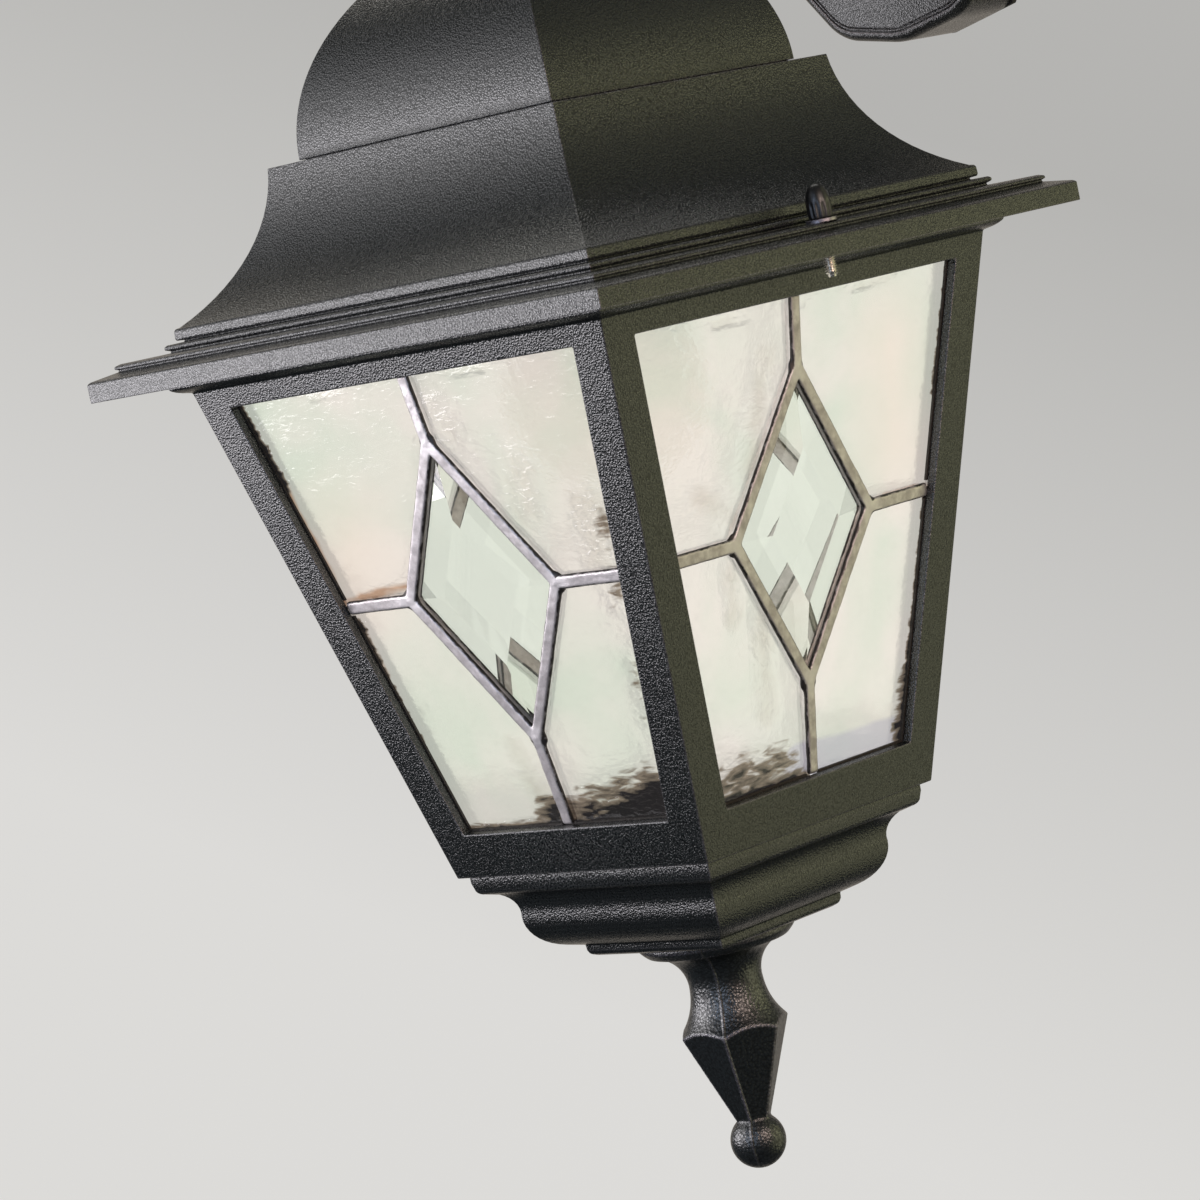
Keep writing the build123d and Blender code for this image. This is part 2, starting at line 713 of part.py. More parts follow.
# Thumb screws through the rim into the cage's ears: a fluted domed head on a bright screw, over a washer
fluted_height = THUMB_HEAD_TOP - THUMB_HEAD_FOOT - THUMB_CAP_HEIGHT
for side, hand in ((1, "right"), (-1, "left")):
    axis_plane = Plane(origin=(side * THUMB_X, AXIS_Y, RIM_Z + THUMB_HEAD_FOOT), z_dir=(0, 0, 1))
    with BuildPart() as thumb_head:
        with BuildSketch(axis_plane):
            Circle(THUMB_HEAD_RADIUS)
            with PolarLocations(THUMB_HEAD_RADIUS + 0.15, THUMB_RIB_COUNT):
                Circle(0.42, mode=Mode.SUBTRACT)
        extrude(amount=fluted_height)
        with BuildSketch(axis_plane.offset(fluted_height)):
            Circle(THUMB_HEAD_RADIUS - 0.3)
        extrude(amount=THUMB_CAP_HEIGHT)
        fillet(thumb_head.faces().sort_by(Axis.Z)[-1].edges(), 1.5)
        with BuildSketch(axis_plane):
            Circle(THREAD_RADIUS)
        extrude(amount=THUMB_HEAD_BORE, mode=Mode.SUBTRACT)
    save(thumb_head, f"thumb_head_{hand}")
    with BuildPart() as thumb_thread:
        with BuildSketch(axis_plane.offset(THUMB_HEAD_BORE)):
            Circle(THREAD_RADIUS)
        extrude(amount=THREAD_END - THUMB_HEAD_FOOT - THUMB_HEAD_BORE)
        chamfer(thumb_thread.faces().sort_by(Axis.Z)[0].edges(), 0.5)
    save(thumb_thread, f"thumb_thread_{hand}")

with BuildPart() as thumb_washers:
    with BuildSketch(level(RIM_FLAT)):
        with GridLocations(2 * THUMB_X, 0, 2, 1):
            Circle(4.6)
            Circle(2.1, mode=Mode.SUBTRACT)
    extrude(amount=THUMB_HEAD_FOOT - RIM_FLAT)
save(thumb_washers, "thumb_washers")


# Cage: four-sided tapered casting with windows, grooved corner posts, a flange above and a floor below
def cage_half(height, depth=0.0):
    """Half-width of the cage's side at a height, at a depth into its wall."""
    return CAGE_TOP_HALF + (height - CAGE_TOP) * math.tan(TAPER) - depth / math.cos(TAPER)


def cage_outline():
    Polyline((0, CAGE_FOOT), (CAGE_FOOT_HALF, CAGE_FOOT), (CAGE_TOP_HALF, CAGE_TOP), (89.6, -2.6))
    ThreePointArc((89.6, -2.6), (91.6, -1.9), (FLANGE_HALF, -0.9))
    Polyline((FLANGE_HALF, -0.9), (FLANGE_HALF, FLANGE_TOP), (0, FLANGE_TOP), (0, CAGE_FOOT))


def cage_layer(depth):
    """Half outline of the cage's inside, at a depth behind its sides."""
    def draw():
        foot = (cage_half(FLOOR_TOP, depth), FLOOR_TOP)
        head = (cage_half(FLANGE_TOP, depth), FLANGE_TOP)
        Polyline((0, FLOOR_TOP), foot, head, (0, FLANGE_TOP), (0, FLOOR_TOP))

    return draw


def side_plane(angle, depth=0.0):
    """Plane of one cage side, at a depth into it: X across the side, -Y down its slope from the top edge."""
    turn = math.radians(angle)
    outwards = Vector(math.sin(turn), -math.cos(turn), 0)
    normal = outwards * math.cos(TAPER) - Vector(0, 0, math.sin(TAPER))
    corner = Vector(0, AXIS_Y, RIM_Z + CAGE_TOP) + outwards * CAGE_TOP_HALF
    return Plane(origin=corner - normal * depth, x_dir=(math.cos(turn), math.sin(turn), 0), z_dir=normal)


def opening_half(slope):
    """Half-width of a window, at a length down the slope."""
    return CAGE_TOP_HALF - slope * math.sin(TAPER) - STILE


def panel_shape(side_lap, top_lap=None, foot_lap=None):
    """Trapezium of a window, grown by laps at its sides, top and foot."""
    top = OPENING_TOP - (side_lap if top_lap is None else top_lap)
    foot = OPENING_FOOT + (side_lap if foot_lap is None else foot_lap)
    top_half = opening_half(top) + side_lap
    foot_half = opening_half(foot) + side_lap
    return Polygon((-top_half, -top), (top_half, -top), (foot_half, -foot), (-foot_half, -foot), align=None)


with BuildPart() as cage_ribs:
    add(square_plan(cage_layer(RIB_DEPTH)))
    add(square_plan(cage_layer(RIB_BACK)), mode=Mode.SUBTRACT)
    for angle in SIDES.values():
        with BuildSketch(side_plane(angle, RIB_DEPTH - 3.0)):
            panel_shape(0.5, 30.0, 30.0)
        extrude(amount=-9.0, mode=Mode.SUBTRACT)

with BuildPart() as cage_frame:
    add(square_plan(cage_outline))
    add(square_plan(cage_layer(CAGE_WALL)), mode=Mode.SUBTRACT)
    for angle in SIDES.values():
        with BuildSketch(side_plane(angle)):
            panel_shape(0)
        extrude(amount=-CAGE_WALL - 1.0, mode=Mode.SUBTRACT)
    for sx, sy in ((1, 1), (1, -1), (-1, 1), (-1, -1)):
        for height in (FLOOR_TOP, CAGE_TOP):
            centre = cage_half(height) - POST_DEPTH
            with BuildSketch(level(height)):
                with Locations((sx * centre, sy * centre)):
                    Rectangle(POST_WIDTH, POST_WIDTH)
        loft()
    add(cage_ribs.part)
    for side in (1, -1):
        with BuildSketch(level(EAR_LOW)):
            with Locations((side * (FLANGE_HALF + EAR_REACH - 2.0) / 2, 0)):
                Rectangle(EAR_REACH - FLANGE_HALF + 2.0, 2 * EAR_HALF_WIDTH)
        extrude(amount=EAR_HIGH - EAR_LOW)
    with BuildSketch(level(EAR_HIGH)):
        with GridLocations(2 * THUMB_X, 0, 2, 1):
            Circle(THREAD_RADIUS + FIT)
    extrude(amount=EAR_LOW - EAR_HIGH, mode=Mode.SUBTRACT)
    with BuildSketch(level(FLOOR_TOP)):
        Circle(STUD_RADIUS + FIT)
    extrude(amount=CAGE_FOOT - FLOOR_TOP, mode=Mode.SUBTRACT)
save(cage_frame, "cage_frame")

with BuildPart() as cage_seal:
    with BuildSketch(level(FLANGE_TOP)):
        Rectangle(2 * FLANGE_HALF - 1.0, 2 * FLANGE_HALF - 1.0)
        Rectangle(2 * FLANGE_HALF - 11.0, 2 * FLANGE_HALF - 11.0, mode=Mode.SUBTRACT)
    extrude(amount=SEAT - FLANGE_TOP)
save(cage_seal, "cage_seal")


# Leaded panels: four textured panes about a bevelled diamond, held in soldered lead
def lead_lines():
    """Centre lines of the lead inside a panel."""
    top, foot = OPENING_TOP - PANEL_LAP, OPENING_FOOT + PANEL_FOOT_LAP
    side = opening_half(DIAMOND_MID) + PANEL_LAP
    return [
        ((0, -top), (0, -DIAMOND_TOP)),
        ((0, -DIAMOND_FOOT), (0, -foot)),
        ((DIAMOND_HALF, -DIAMOND_MID), (side, -DIAMOND_MID)),
        ((-DIAMOND_HALF, -DIAMOND_MID), (-side, -DIAMOND_MID)),
    ]


def diamond_shape(inset, mode=Mode.ADD):
    """The diamond, drawn in square to its sides by an inset."""
    half_height = (DIAMOND_FOOT - DIAMOND_TOP) / 2
    shrink = inset * math.hypot(half_height, DIAMOND_HALF) / (half_height * DIAMOND_HALF)
    across, along = DIAMOND_HALF * (1 - shrink), half_height * (1 - shrink)
    middle = -(DIAMOND_TOP + DIAMOND_FOOT) / 2
    points = ((0, middle + along), (across, middle), (0, middle - along), (-across, middle))
    return Polygon(*points, align=None, mode=mode)


def lead_strips(width, mode=Mode.ADD):
    """Strips of a width along every lead line, the diamond's four included."""
    for start, end in lead_lines():
        length = math.hypot(end[0] - start[0], end[1] - start[1])
        middle = ((start[0] + end[0]) / 2, (start[1] + end[1]) / 2)
        upright = start[0] == end[0]
        with Locations(middle):
            if upright:
                Rectangle(width, length, mode=mode)
            else:
                Rectangle(length, width, mode=mode)


def lead_net(width):
    """Sketch of the whole net of lead at a width."""
    with BuildSketch() as net:
        diamond_shape(-width / 2)
        lead_strips(width)
        diamond_shape(width / 2, mode=Mode.SUBTRACT)
    return net.sketch


def edge_ring(outer_lap, inner_lap):
    """Sketch of a ring along a panel's edge, between two laps over the window."""
    foot_extra = PANEL_FOOT_LAP - PANEL_LAP
    with BuildSketch() as ring:
        panel_shape(outer_lap, foot_lap=outer_lap + foot_extra)
        with BuildSketch(mode=Mode.SUBTRACT):
            panel_shape(inner_lap, foot_lap=inner_lap + foot_extra)
    return ring.sketch


def panel_field(lap):
    """Sketch of a panel as far as a lap over the window, its foot as far beyond as the panel's own."""
    foot_lap = lap + PANEL_FOOT_LAP - PANEL_LAP if lap > 0 else lap
    with BuildSketch() as field:
        panel_shape(lap, foot_lap=foot_lap)
    return field.sketch


for side, angle in SIDES.items():
    with BuildPart() as glass:
        with BuildSketch(side_plane(angle, GLASS_OUT)):
            add(panel_field(PANEL_LAP - EDGE_HEART))
            add(lead_net(HEART), mode=Mode.SUBTRACT)
            diamond_shape(0, mode=Mode.SUBTRACT)
        extrude(amount=GLASS_OUT - GLASS_IN)
    save(glass, f"glass_{side}")
    with BuildPart() as diamond:
        with BuildSketch(side_plane(angle, GLASS_OUT)):
            diamond_shape(HEART / 2)
        extrude(amount=GLASS_OUT - GLASS_IN)
        for depth, inset in ((GLASS_OUT, BEVEL_EDGE), (GLASS_OUT - BEVEL_RISE, BEVEL_EDGE + BEVEL_WIDTH)):
            with BuildSketch(side_plane(angle, depth)):
                diamond_shape(inset)
        loft()
    save(diamond, f"diamond_{side}")
    with BuildPart() as lead:
        with BuildSketch(side_plane(angle, GLASS_OUT)):
            add(lead_net(HEART))
            add(edge_ring(PANEL_LAP, PANEL_LAP - EDGE_HEART))
        extrude(amount=GLASS_OUT - GLASS_IN)
        with BuildSketch(side_plane(angle, GLASS_OUT)):
            add(lead_net(LEAF_WIDTH))
            add(panel_field(PANEL_LAP), mode=Mode.INTERSECT)
            add(edge_ring(PANEL_LAP, PANEL_LAP - EDGE_LEAF_WIDTH))
        extrude(amount=EDGE_LEAF)
        with BuildSketch(side_plane(angle, GLASS_OUT)):
            add(lead_net(LEAF_WIDTH))
            add(panel_field(-FIT), mode=Mode.INTERSECT)
        extrude(amount=LEAF_OUT)
        with BuildSketch(side_plane(angle, GLASS_IN)):
            add(lead_net(LEAF_WIDTH))
            add(panel_field(PANEL_LAP), mode=Mode.INTERSECT)
        extrude(amount=-LEAF_IN)
        with BuildSketch(side_plane(angle, GLASS_IN)):
            add(edge_ring(PANEL_LAP, PANEL_LAP - EDGE_LEAF_WIDTH))
        extrude(amount=-EDGE_LEAF)
    save(lead, f"lead_{side}")

# Putty beads that show as a dark line round each window
with BuildPart() as putty_beads:
    for angle in SIDES.values():
        with BuildSketch(side_plane(angle, GLASS_OUT)):
            panel_shape(PANEL_LAP - EDGE_LEAF_WIDTH)
            add(panel_field(-PUTTY_SHOWS), mode=Mode.SUBTRACT)
            add(lead_net(LEAF_WIDTH), mode=Mode.SUBTRACT)
        extrude(amount=GLASS_OUT - CAGE_WALL)
save(putty_beads, "putty_beads")


# Base pan: moulded cast cup under the cage, with a low plate and a round flange below it
def pan_outline():
    Polyline((0, CAGE_FOOT), (50.7, CAGE_FOOT), (50.7, -169.6), (50.2, -171.6))
    ThreePointArc((50.2, -171.6), (49.5, -173.2), (48.0, -173.9))
    Line((48.0, -173.9), (45.2, -174.8))
    ThreePointArc((45.2, -174.8), (42.2, -178.0), (41.3, -183.0))
    ThreePointArc((41.3, -183.0), (38.9, -190.4), (33.0, -194.5))
    Polyline((33.0, -194.5), (28.8, -195.8), (28.7, -197.6), (28.1, -199.0), (26.6, PAN_FOOT), (0, PAN_FOOT))
    Line((0, PAN_FOOT), (0, CAGE_FOOT))


def pan_hollow():
    Polyline((0, CAGE_FOOT), (47.2, CAGE_FOOT), (47.2, -171.4), (42.4, -173.0), (38.2, -178.0))
    Polyline((38.2, -178.0), (37.4, -184.0), (35.0, -188.8), (30.0, -191.8), (0, -191.8), (0, CAGE_FOOT))


with BuildPart() as base_pan:
    add(square_plan(pan_outline))
    add(square_plan(pan_hollow), mode=Mode.SUBTRACT)
    with BuildSketch(level(PAN_FOOT)):
        Circle(STUD_RADIUS + FIT)
    extrude(amount=20.0, mode=Mode.SUBTRACT)
save(base_pan, "base_pan")


# Finial: round flange and waist, a six-sided drop with scalloped shoulders and a ball
def finial_outline():
    ThreePointArc((FLANGE_RADIUS, FLANGE_FOOT + 1.2), (FLANGE_RADIUS - 1.0, FLANGE_FOOT), (22.4, -203.9))
    ThreePointArc((22.4, -203.9), (14.9, -207.4), (WAIST_RADIUS, -217.0))
    ThreePointArc((WAIST_RADIUS, -217.0), (13.2, -223.8), (17.3, -230.3))
    Polyline((17.3, -230.3), (24.0, -237.0), (24.0, HEX_NARROW_Z), (0, HEX_NARROW_Z), (0, PAN_FOOT))
    Polyline((0, PAN_FOOT), (FLANGE_RADIUS, PAN_FOOT), (FLANGE_RADIUS, FLANGE_FOOT + 1.2))


hex_slope = (HEX_WIDE - HEX_NARROW) / (HEX_WIDE_Z - HEX_NARROW_Z)
ball_centre = FINIAL_FOOT + BALL_RADIUS
with BuildPart() as hex_drop:
    with BuildSketch(level(HEX_START_Z)):
        RegularPolygon(HEX_NARROW + hex_slope * (HEX_START_Z - HEX_NARROW_Z), 6)
    with BuildSketch(level(HEX_NARROW_Z)):
        RegularPolygon(HEX_NARROW, 6)
    loft()
    add(turned(finial_outline), mode=Mode.INTERSECT)

with BuildPart() as finial:
    add(turned(finial_outline))
    with BuildSketch(level(HEX_START_Z)):
        Circle(30.0)
    extrude(amount=HEX_NARROW_Z - HEX_START_Z, mode=Mode.SUBTRACT)
    add(hex_drop.part)
    with Locations(level(ball_centre)):
        Sphere(BALL_RADIUS)
    with BuildSketch(level(PAN_FOOT)):
        Circle(STUD_RADIUS + FIT)
    extrude(amount=-STUD_GRIP, mode=Mode.SUBTRACT)
save(finial, "finial")

with BuildPart() as finial_stud:
    with BuildSketch(level(PAN_FOOT - STUD_GRIP)):
        Circle(STUD_RADIUS)
    extrude(amount=STUD_TOP - PAN_FOOT + STUD_GRIP)
save(finial_stud, "finial_stud")

with BuildPart() as finial_washer:
    with BuildSketch(level(FLOOR_TOP)):
        Circle(8.0)
        Circle(STUD_RADIUS + FIT, mode=Mode.SUBTRACT)
    extrude(amount=STUD_WASHER)
save(finial_washer, "finial_washer")

with BuildPart() as finial_nut:
    with BuildSketch(level(FLOOR_TOP + STUD_WASHER)):
        RegularPolygon(5.0, 6, major_radius=False)
        Circle(STUD_RADIUS + FIT, mode=Mode.SUBTRACT)
    extrude(amount=STUD_NUT)
save(finial_nut, "finial_nut")
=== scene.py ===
# %% [markdown]
# # A leaded lantern on a swan-neck arm
# This lesson dresses a finished CAD model of an outdoor wall light. The castings are aluminium under a black
# powder coat, the windows are textured glass round a bevelled diamond, and soft lead holds the glass
# together. The CAD model is loaded first and never touched. Every piece modelled here stands in its frame, in
# metres.

# %% Load the CAD frame
import cmath
import math
import random
import bmesh
import bpy
import json
import numpy as np
from mathutils import Matrix, Vector


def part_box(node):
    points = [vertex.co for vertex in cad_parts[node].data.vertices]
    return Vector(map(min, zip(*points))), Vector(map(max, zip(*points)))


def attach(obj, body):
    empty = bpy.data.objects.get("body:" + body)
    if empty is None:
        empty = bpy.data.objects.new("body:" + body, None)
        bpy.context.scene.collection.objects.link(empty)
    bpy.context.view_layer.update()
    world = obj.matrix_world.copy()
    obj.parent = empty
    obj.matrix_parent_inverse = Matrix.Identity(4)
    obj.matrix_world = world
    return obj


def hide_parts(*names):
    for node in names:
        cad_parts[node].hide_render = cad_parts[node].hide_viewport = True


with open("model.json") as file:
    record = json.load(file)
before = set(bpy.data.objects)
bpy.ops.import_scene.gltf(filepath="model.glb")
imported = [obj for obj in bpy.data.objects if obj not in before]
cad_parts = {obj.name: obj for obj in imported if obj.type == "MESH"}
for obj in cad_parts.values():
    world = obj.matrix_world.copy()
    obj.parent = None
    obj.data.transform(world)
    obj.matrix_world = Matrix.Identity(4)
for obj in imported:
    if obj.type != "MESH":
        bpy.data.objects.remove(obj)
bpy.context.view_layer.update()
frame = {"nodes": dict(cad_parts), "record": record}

# %% [markdown]
# ## Where things are
# The wall is the plane Y = 0 and the lantern hangs in front of it. Almost every casting is square or round
# about the lantern's own upright axis, so it is easiest to give half-widths from that axis, and heights above
# the lower edge of the roof's rim, in millimetres. Both are read from the roof skirt, and one helper turns
# them into metres.

# %% Lantern axis and rim
MM = 0.001
skirt_low, skirt_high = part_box("roof_skirt")
AXIS_X = (skirt_low.x + skirt_high.x) / 2
AXIS_Y = (skirt_low.y + skirt_high.y) / 2
RIM_Z = skirt_low.z


def spot(x, y, height):
    """Point in metres, from millimetres about the lantern's axis and above the rim's edge."""
    return Vector((AXIS_X + x * MM, AXIS_Y + y * MM, RIM_Z + height * MM))


print("lantern axis", round(AXIS_X, 4), round(AXIS_Y, 4), "rim", round(RIM_Z, 4))

# %% [markdown]
# ## Camera
# The light is seen from its front right corner, a little from above, through a long lens, and the camera is
# rolled so that the lantern leans across the picture. Three angles give the camera its three axes, and those
# are the columns of its matrix, which leaves nothing to Blender's own turning order.

# %% Camera
CAMERA_AZIMUTH = 44.3325
CAMERA_ELEVATION = 4.949
CAMERA_ROLL = -11.6604
CAMERA_PLACE = Vector((0.926399, -1.173896, -0.124074))
LENS = 130.365
AIM = spot(0, 0, -60)


def camera_axes(azimuth, elevation, roll):
    """Right, up and backward axes of a camera that looks along +Y at azimuth 0."""
    a, e, r = (math.radians(angle) for angle in (azimuth, elevation, roll))
    back = Vector((math.sin(a) * math.cos(e), -math.cos(a) * math.cos(e), math.sin(e)))
    right = Vector((math.cos(a), math.sin(a), 0))
    up = back.cross(right)
    return math.cos(r) * right + math.sin(r) * up, math.cos(r) * up - math.sin(r) * right, back


right, up, back = camera_axes(CAMERA_AZIMUTH, CAMERA_ELEVATION, CAMERA_ROLL)
bpy.ops.object.camera_add()
camera = bpy.context.object
camera.name = "camera"
camera.data.lens = LENS
camera.data.sensor_width = 36
camera.data.clip_start = 0.01
camera.matrix_world = Matrix.Translation(CAMERA_PLACE) @ Matrix((right, up, back)).transposed().to_4x4()
bpy.context.scene.camera = camera
print("camera distance from the axis", round((CAMERA_PLACE - AIM).length, 3))

# %% [markdown]
# ## Helpers for nodes
# A material is a small graph of nodes. Writing each link as a line of its own makes long listings, so one
# helper adds a node, sets its properties and fills its sockets, with a number, a colour or another node's
# output.

# %% Node helpers
def fill(node, socket, value):
    """Fills a socket with a number, a place, a colour of three shares, or another node's output."""
    target = node.inputs[socket]
    if isinstance(value, bpy.types.NodeSocket):
        node.id_data.links.new(value, target)
    else:
        target.default_value = (*value, 1.0) if target.type == "RGBA" else value


def add_node(tree, kind, sockets=None, **settings):
    """Adds a shader node, sets its properties, fills its sockets and returns it."""
    node = tree.nodes.new(kind if kind.startswith("Node") else "ShaderNode" + kind)
    for key, value in settings.items():
        setattr(node, key, value)
    for socket, value in (sockets or {}).items():
        fill(node, socket, value)
    return node


def start_group(name, inputs, outputs):
    """Makes an empty node group with named sockets, and returns it with its input and output nodes."""
    group = bpy.data.node_groups.new(name, "ShaderNodeTree")
    for label, kind, value in inputs:
        socket = group.interface.new_socket(label, in_out="INPUT", socket_type="NodeSocket" + kind)
        socket.default_value = value
    for label, kind in outputs:
        group.interface.new_socket(label, in_out="OUTPUT", socket_type="NodeSocket" + kind)
    return group, add_node(group, "NodeGroupInput").outputs, add_node(group, "NodeGroupOutput").inputs


def use_group(tree, group, **sockets):
    """Places a node group in a material, fills its sockets and returns its outputs."""
    return add_node(tree, "Group", sockets, node_tree=group).outputs


def noise(tree, place, scale, detail=2.0, roughness=0.5, distortion=0.0):
    """Adds a noise with a number of waves to the metre, and returns its value."""
    shape = {"Detail": detail, "Roughness": roughness, "Distortion": distortion}
    return add_node(tree, "TexNoise", {"Vector": place, "Scale": scale, **shape}).outputs["Fac"]


def math_node(tree, operation, first, second=0.0, clamp=False):
    """Adds one step of arithmetic and returns its result."""
    return add_node(tree, "Math", {0: first, 1: second}, operation=operation, use_clamp=clamp).outputs[0]


def times(tree, first, second):
    """Product of two values."""
    return math_node(tree, "MULTIPLY", first, second)


def plus(tree, first, second):
    """Sum of two values."""
    return math_node(tree, "ADD", first, second)


def minus(tree, first, second):
    """Difference of two values."""
    return math_node(tree, "SUBTRACT", first, second)


def reach_along(tree, place, direction):
    """How far a place lies along a direction."""
    return add_node(tree, "VectorMath", {0: place, 1: direction}, operation="DOT_PRODUCT").outputs["Value"]


def make_bump(tree, height, distance, **more):
    """Adds a bump and returns its normal."""
    return add_node(tree, "Bump", {"Height": height, "Distance": distance, **more}).outputs[0]


def remap(tree, value, low, high, to_low=0.0, to_high=1.0):
    """Stretches a value from one range to another, held at its ends."""
    return add_node(tree, "MapRange", {0: value, 1: low, 2: high, 3: to_low, 4: to_high}).outputs[0]


def blend_colours(tree, share, first, second, how="MIX"):
    """Mixes two colours by a share and returns the mix."""
    return add_node(tree, "Mix", {0: share, 6: first, 7: second}, data_type="RGBA", blend_type=how).outputs[2]


def mix_shaders(tree, share, first, second):
    """Mixes two shaders by a share."""
    return add_node(tree, "MixShader", {0: share, 1: first, 2: second}).outputs[0]


def grey(level):
    """A neutral colour."""
    return (level, level, level)


# %% Start of a material
MATERIALS = {}


def start_material(name, **plain):
    """Makes a material with a Principled shader, and returns its tree, shader and object coordinates."""
    material = MATERIALS[name] = bpy.data.materials.new(name)
    material.use_nodes = True
    tree = material.node_tree
    tree.nodes.clear()
    shader = add_node(tree, "BsdfPrincipled")
    add_node(tree, "OutputMaterial", {"Surface": shader.outputs[0]})
    feed(shader, **plain)
    return tree, shader, add_node(tree, "TexCoord").outputs["Object"]


def feed(shader, **sockets):
    """Fills a shader's sockets, whose names are written with _ for each space."""
    for socket, value in sockets.items():
        fill(shader, socket.replace("_", " "), value)


def show(tree, surface):
    """Puts another shader's output in the place of the Principled shader's."""
    output = next(node for node in tree.nodes if node.type == "OUTPUT_MATERIAL")
    fill(output, "Surface", surface)


# %% [markdown]
# ## Effects that several finishes share
# Powder coat is sprayed on as dry grains and baked, so it keeps a skin of fine pebbles, with a few larger
# lumps. The same skin is on every casting, so it is one node group that puts out a height for bump, and masks
# of the pebbles' tops and of the hollows between them; the coats paint shade into the hollows. A second group
# finds edges. The Bevel node averages the normal over a small radius, and where that differs from the true
# normal there is an edge. Pointiness keeps only the edges that stand out, and the coats paint a highlight
# along them. A third group spreads dust in patches, most of it on what faces up.

# %% Grain group
coat_grain, given, out = start_group(
    "coat grain",
    [("Place", "Vector", (0, 0, 0)), ("Grain", "Float", 0.8), ("Lumps", "Float", 0.3)],
    [("Height", "Float"), ("Tops", "Float"), ("Hollows", "Float")],
)
per_metre = math_node(coat_grain, "DIVIDE", 1000.0, given["Grain"])
fine = noise(coat_grain, given["Place"], per_metre, 3.0, roughness=0.7)
cells = add_node(coat_grain, "TexVoronoi", {"Vector": given["Place"], "Scale": per_metre}).outputs["Distance"]
pebbles = remap(coat_grain, cells, 0.15, 0.8, 1.0, 0.0)
coarse = noise(coat_grain, given["Place"], times(coat_grain, per_metre, 0.33), 1.0)
lumps = times(coat_grain, coarse, given["Lumps"])
skin_height = plus(coat_grain, times(coat_grain, pebbles, 0.6), lumps)
coat_grain.links.new(plus(coat_grain, times(coat_grain, fine, 0.5), skin_height), out["Height"])
coat_grain.links.new(pebbles, out["Tops"])
coat_grain.links.new(minus(coat_grain, 1.0, pebbles), out["Hollows"])
print("group", coat_grain.name, len(coat_grain.nodes), "nodes")

# %% Edge group
edge_finder, given, out = start_group(
    "edge finder",
    [("Radius", "Float", 0.0008), ("Sharpness", "Float", 6.0)],
    [("Edge", "Float"), ("Normal", "Vector")],
)
rounded = add_node(edge_finder, "Bevel", {"Radius": given["Radius"]}, samples=6).outputs[0]
surface = add_node(edge_finder, "NewGeometry").outputs
apart = minus(edge_finder, 1.0, reach_along(edge_finder, rounded, surface["True Normal"]))
outward = remap(edge_finder, surface["Pointiness"], 0.502, 0.52)
sharpened = math_node(edge_finder, "MULTIPLY", apart, given["Sharpness"], clamp=True)
edge_finder.links.new(times(edge_finder, sharpened, outward), out["Edge"])
edge_finder.links.new(rounded, out["Normal"])
print("group", edge_finder.name, len(edge_finder.nodes), "nodes")

# %% Dust group
settled_dust, given, out = start_group(
    "settled dust",
    [("Place", "Vector", (0, 0, 0)), ("Amount", "Float", 0.3), ("Patch", "Float", 12.0)],
    [("Dust", "Float")],
)
per_metre = math_node(settled_dust, "DIVIDE", 1000.0, given["Patch"])
patches = noise(settled_dust, given["Place"], per_metre, 6.0, roughness=0.65)
facing = reach_along(settled_dust, add_node(settled_dust, "NewGeometry").outputs["Normal"], (0, 0, 1))
upward = remap(settled_dust, facing, 0.1, 1.0, 0.15, 1.0)
speckle = remap(settled_dust, patches, 0.42, 0.75)
dust_share = times(settled_dust, times(settled_dust, speckle, upward), given["Amount"])
settled_dust.links.new(dust_share, out["Dust"])
print("group", settled_dust.name, len(settled_dust.nodes), "nodes")

# %% [markdown]
# ## Black powder coat
# The castings aren't pure black: the coat is a very dark grey, a touch green in the shade, with a satin sheen
# strong enough to turn violet grey where it faces a window. The pebbles' tops shine more than the hollows
# between them, so the grain drives the sheen as well as the bump, and the hollows are darkened with painted
# shade. Edges that stand out get a painted highlight, a paler colour. One function makes the three coats,
# which differ in grain, sheen and highlight. The finial keeps the seam of its two-part mould, a fine raised
# line down both sides, with a painted highlight along it.

# %% Coats
# Painted shade: the near-black colour that the coats lay into the grain's hollows.
HOLLOW_SHADE = grey(0.0003)
DUST_COLOUR = (0.1, 0.095, 0.085)
SEAM_TURN = math.radians(30)
SEAM_RISE = 2.5


